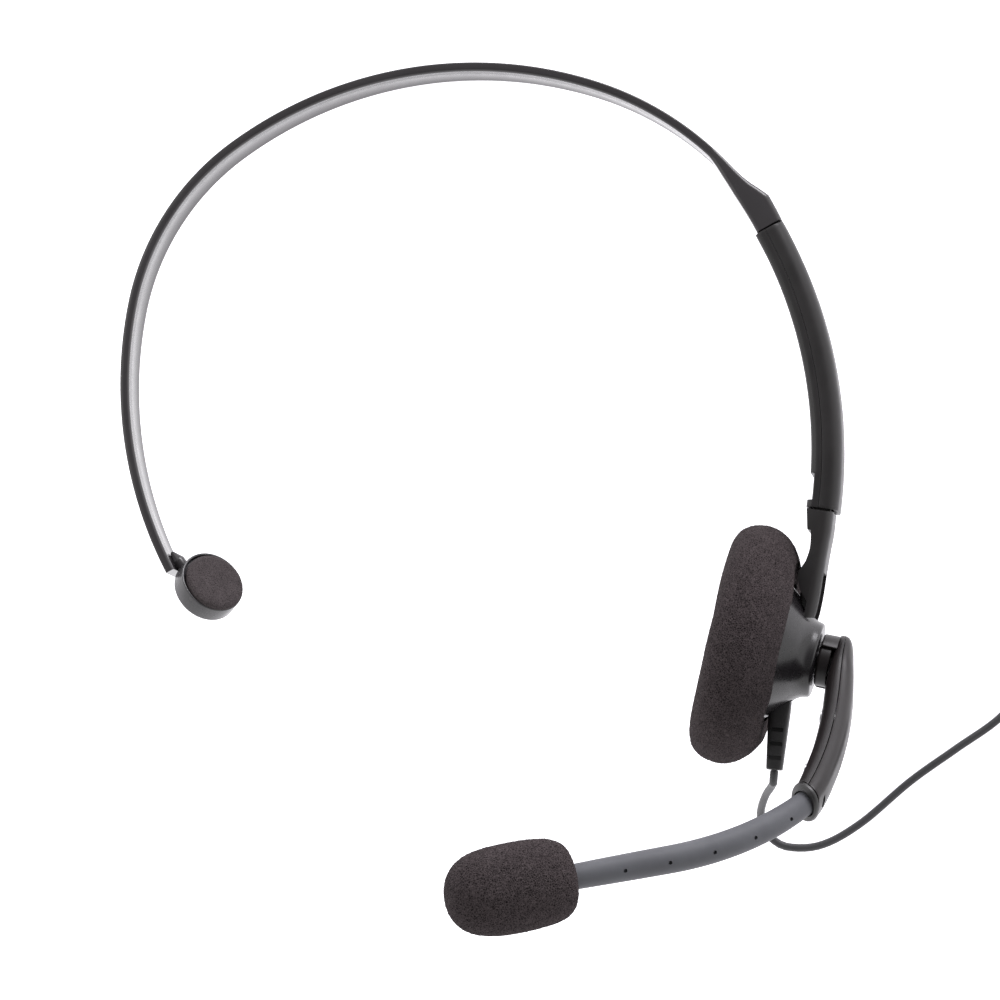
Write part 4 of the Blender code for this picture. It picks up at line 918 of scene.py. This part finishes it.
# ==== temple pad ====
def temple_pad():
    """The holder with the boss round its pin, and the foam disc in it."""
    back, floor_at = PAD_BACK - 1.7, PAD_RIM - 1.2
    bowl = rounded([(back, 0), (back, 7.5), (back + 0.8, PAD_RADIUS + 0.25), (PAD_RIM, PAD_RADIUS + 0.15),
                    (PAD_RIM, 7.6), (floor_at, 7.6), (floor_at, 0)], 0.3)
    holder = place("temple_holder", lathe(bowl, 120, None, Matrix.Translation((0, -0.55, 0))), PAD,
                   LOOKS["holder_plastic"], "temple_pad", nodes=["temple_pad_holder"])
    boss = lathe(rounded([(-7.9, 0), (-7.9, 2.5), (4.1, 2.5), (4.1, 0)], 0.3), 40, None,
                 Matrix.Rotation(pi / 2, 4, "Z"))
    boolean(holder, boss, PAD, "UNION")
    boolean(holder, cylinder((0, -9.0, 0), (0, 1, 0), 0.78, 11.8, 24), PAD)
    profile = smooth_profile([(PAD_FACE + 0.15, 0), (PAD_FACE + 0.15, 3), (PAD_FACE + 0.1, 6.0),
                              (PAD_FACE - 0.1, 7.0), (PAD_FACE - 0.6, 7.5), (PAD_RIM + 0.1, 7.55),
                              (PAD_RIM - 0.2, 7.5), (PAD_RIM - 0.9, 7.35)], 8)
    profile[0] = (profile[0][0], 0)
    profile = [(x, max(r, 0)) for x, r in profile] + [(PAD_RIM - 0.9, 4.0), (PAD_RIM - 0.9, 0)]
    foam_body("temple_foam", lathe(profile, 150), PAD, "temple_pad", ["temple_pad_foam"],
              LOOKS["fine_foam"], 0.7, 0.12, 0.12)


# ==== boom ====
def arm_half(outer_half, around=28):
    """One half of the rigid boom arm, domed away from the seam; the outer half has a soft ridge."""
    rows = [(*top, *low, width) for top, low, width in BOOM_ARM]
    fine = curve_through(rows, 8)
    sections = []
    for ax, ay, bx, by, half_width in fine:
        top, low = Vector((ax, ay)), Vector((bx, by))
        thick = (top - low).length
        up = (top - low) / thick
        seam = low + up * (thick * ARM_SEAM)
        side = 1 if outer_half else -1
        height = (thick * (1 - ARM_SEAM) if outer_half else thick * ARM_SEAM) - 0.1
        base = seam + up * (side * 0.1)
        loop = []
        for k in range(around + 1):
            t = pi * k / around
            u = height * sin(t) ** 0.7 if 0 < k < around else 0.0
            if outer_half:
                ridge = max(0.0, 1 - abs(cos(t)) / 0.55)
                u -= 0.28 * ridge * (1 - ridge) * 4 * 0.5
            loop.append((*(base + up * (side * max(u, 0.0))), half_width * signed_power(cos(t), 0.75)))
        sections.append(loop)
    return loft(sections)


def boom_arm():
    """The rigid arm's two halves, its two screws, the pivot disc and the ring at its end."""
    outer = place("boom_outer_half", arm_half(True), BOOM, LOOKS["boom_plastic"], "boom_arm",
                  nodes=["boom_arm_outer"])
    inner = place("boom_inner_half", arm_half(False), BOOM, LOOKS["boom_plastic"], "boom_arm",
                  nodes=["boom_arm_inner"])
    round_edges(outer, 0.14, 2, 45)
    hood = []
    hood_section = ((18.9, 6.2), (18.9, 6.5), (19.3, 6.8), (22.85, 6.85), (22.85, 6.2))
    for k in range(61):
        y, z = polar(HOOD_FROM + (360 - 2 * HOOD_FROM) * k / 60)
        hood.append([(x, r * y, r * z) for x, r in hood_section])
    boolean(inner, loft(hood), BOOM, "UNION")
    round_edges(inner, 0.12, 2, 50)
    socket_start, socket_along = flex_point(-5.0)
    for half in (outer, inner):
        boolean(half, box((23.3, -3.4, -3.9), (26.9, 4.0, 3.9)), BOOM)
        boolean(half, cylinder(socket_start, socket_along, 3.25, 11.0, 48), BOOM)
    boolean(inner, cylinder((20.0, 0, 0), (1, 0, 0), SHAFT_RADIUS + 0.15, 5.0, 48), BOOM)
    for number, radial in enumerate(ARM_SCREWS, 1):
        axial = 22.9 + 0.3 * number
        boolean(inner, cylinder((axial - 2.0, radial, 0), (1, 0, 0), 1.75, 3.0, 32), BOOM)
        boolean(inner, cylinder((axial, radial, 0), (1, 0, 0), 0.9, 6.0, 24), BOOM)
        turn = Matrix.Translation((axial + 0.05, radial, 0))
        screw_head("boom_screw_head_%d" % number, turn, BOOM, "boom_arm", "arm_screw_%d" % number, 1.5, 0.7,
                   0.6, 4.6)
    disc = rounded([(18.7, 3.4), (18.7, 5.5), (19.1, 5.9), (21.7, 5.9), (21.7, 3.4)], 0.25)
    place("pivot_disc_turned", lathe(disc, 120), BOOM, LOOKS["boom_plastic"], "boom_arm",
          nodes=["pivot_disc"])
    socket_ring()


def socket_ring():
    """The ring at the arm's end that the flexible boom comes out of."""
    top, low = Vector(BOOM_ARM[-1][0]), Vector(BOOM_ARM[-1][1])
    middle, up = (top + low) / 2, (top - low).normalized()
    away = Vector((-up.y, up.x))
    sections = []
    for distance, shrink in ((GAP, 0.0), (0.9, 0.08), (1.25, 0.22), (1.45, 0.5)):
        centre = middle + away * distance
        half_u, half_v = 4.2 - shrink, 5.05 - shrink
        loop = []
        for k in range(72):
            t = 2 * pi * k / 72
            u, v = half_u * signed_power(cos(t), 0.9), half_v * signed_power(sin(t), 0.9)
            loop.append((*(centre + up * u), v))
        sections.append(loop)
    ring = place("socket_ring", loft(sections), BOOM, LOOKS["satin_black"], "boom_arm",
                 nodes=["boom_socket_ring"])
    start, along = flex_point(-5.0)
    boolean(ring, cylinder(start, along, 3.2, 12.0, 64), BOOM)
    round_edges(ring, 0.12, 2, 40)


DOTS = (7.0, 17.9, 28.8, 39.7, 50.6)
DOT_ANGLE = -30.0
SEAMS = (LINK_ENDS[0], 19.3, 30.2, 41.1, LINK_ENDS[-1])
TUBE_BORE = 1.6


def link_radius(s):
    """The boom is a little thicker at its middle."""
    return 2.85 + 0.4 * sin(pi * min(max(s / LINK_ENDS[-1], 0.0), 1.0)) ** 0.7


def tube_piece(low, high, segments=64):
    """A length of soft pipe along the flexible boom."""
    bm = bmesh.new()
    steps = max(8, int((high - low) / 0.6))
    shells = []
    for skin in (True, False):
        rings = []
        for k in range(steps + 1):
            s = low + (high - low) * k / steps
            centre, along = flex_point(s)
            side = Vector((along.y, -along.x, 0))
            radius = link_radius(s) if skin else TUBE_BORE
            circle = [polar(360 * m / segments, radius) for m in range(segments)]
            rings.append([bm.verts.new(centre + side * u + Vector((0, 0, v))) for u, v in circle])
        shells.append(rings)
        for one, two in zip(rings, rings[1:]):
            bridge(bm, one, two)
    for end in (0, -1):
        bridge(bm, shells[0][end], shells[1][end])
    return bm


def flexible_boom():
    """Four soft lengths, each laid over a hinge along the boom's curve, with small blind holes along one side."""
    stands_for = (("boom_link_1", "boom_link_2"), ("boom_link_3",), ("boom_link_4",), ("boom_link_5",))
    for number in range(4):
        low, high = SEAMS[number], SEAMS[number + 1]
        piece = place("flexible_tube_%d" % (number + 1), tube_piece(low, high), BOOM, LOOKS["soft_rubber"],
                      sharp=50)
        holes = bmesh.new()
        for s in DOTS:
            if low < s < high:
                centre, along = flex_point(s)
                side = Vector((along.y, -along.x, 0))
                way = side * cos(radians(DOT_ANGLE)) + Vector((0, 0, sin(radians(DOT_ANGLE))))
                cylinder(centre + way * (link_radius(s) - 0.7), way, 0.47, 2.0, 20, holes)
        boolean(piece, holes, BOOM)
        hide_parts(*stands_for[number])
        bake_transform(piece)


# ==== carried CAD nodes ====
def carried_nodes():
    """CAD pieces that keep their shape get a worked material and smooth shading."""
    for node in frame["record"]["subparts"]:
        shape = frame["nodes"][node["node"]]
        if shape.hide_render:
            continue
        shape.data.materials.clear()
        slot = "black_steel" if "screw" in node["node"] else node["material_slot"]
        shape.data.materials.append(LOOKS[slot])
        shape.data.shade_smooth()
        shape.data.set_sharp_from_angle(angle=radians(30))


# ==== floor and light ====
def floor():
    """A pale surface that gives off a little light, so that it stays pale in the object's shadow."""
    made, nodes, links, shader, where = look("studio_floor")
    drift = noise_node(nodes, links, where, 0.002, 2.0)
    links.new(ramp(nodes, links, drift, ((0.3, 0.93), (0.7, 0.95))), shader.inputs["Base Color"])
    shader.inputs["Roughness"].default_value = 0.9
    shader.inputs["Specular IOR Level"].default_value = 0.0
    shader.inputs["Emission Color"].default_value = (0.97, 0.95, 1.0, 1.0)
    shader.inputs["Emission Strength"].default_value = 1.0
    bm = bmesh.new()
    bmesh.ops.create_grid(bm, x_segments=1, y_segments=1, size=4.0)
    ground = place("floor", bm, Matrix.Identity(4), made)
    ground.location.z = -0.0002


def area(name, where, size, power, colour=(1, 1, 1)):
    """A round soft lamp that looks at the origin."""
    data = bpy.data.lights.new(name, "AREA")
    data.shape = "DISK"
    data.size = size
    data.energy = power
    data.color = colour
    made = bpy.data.objects.new(name, data)
    bpy.context.scene.collection.objects.link(made)
    made.location = where
    made.rotation_euler = (Vector(where) * -1).to_track_quat("-Z", "Y").to_euler()


def light():
    """A bright room with a dark patch overhead, where the camera stands, and two soft lamps."""
    world = bpy.data.worlds.new("studio")
    world.use_nodes = True
    nodes, links = world.node_tree.nodes, world.node_tree.links
    coords = nodes.new("ShaderNodeTexCoord")
    split = nodes.new("ShaderNodeSeparateXYZ")
    links.new(coords.outputs["Generated"], split.inputs["Vector"])
    sky = ramp(nodes, links, split.outputs["Z"], ((0.0, 1.0), (0.5, 1.0), (0.84, 0.2), (1.0, 0.16)))
    links.new(sky, nodes["Background"].inputs["Color"])
    nodes["Background"].inputs["Strength"].default_value = 1.35
    bpy.context.scene.world = world
    area("key", (0.42, 1.1, 0.28), 0.7, 12.0, (0.97, 0.95, 1.0))
    area("fill", (-0.9, 0.5, 1.1), 0.9, 3.0)
    bpy.context.scene.view_settings.view_transform = "Standard"


# ==== the scene ====
camera()
cords()
headband()
sleeve()
ear_arm()
ear_cup()
ear_cushion()
temple_pad()
boom_arm()
flexible_boom()
windscreen()
carried_nodes()
floor()
light()
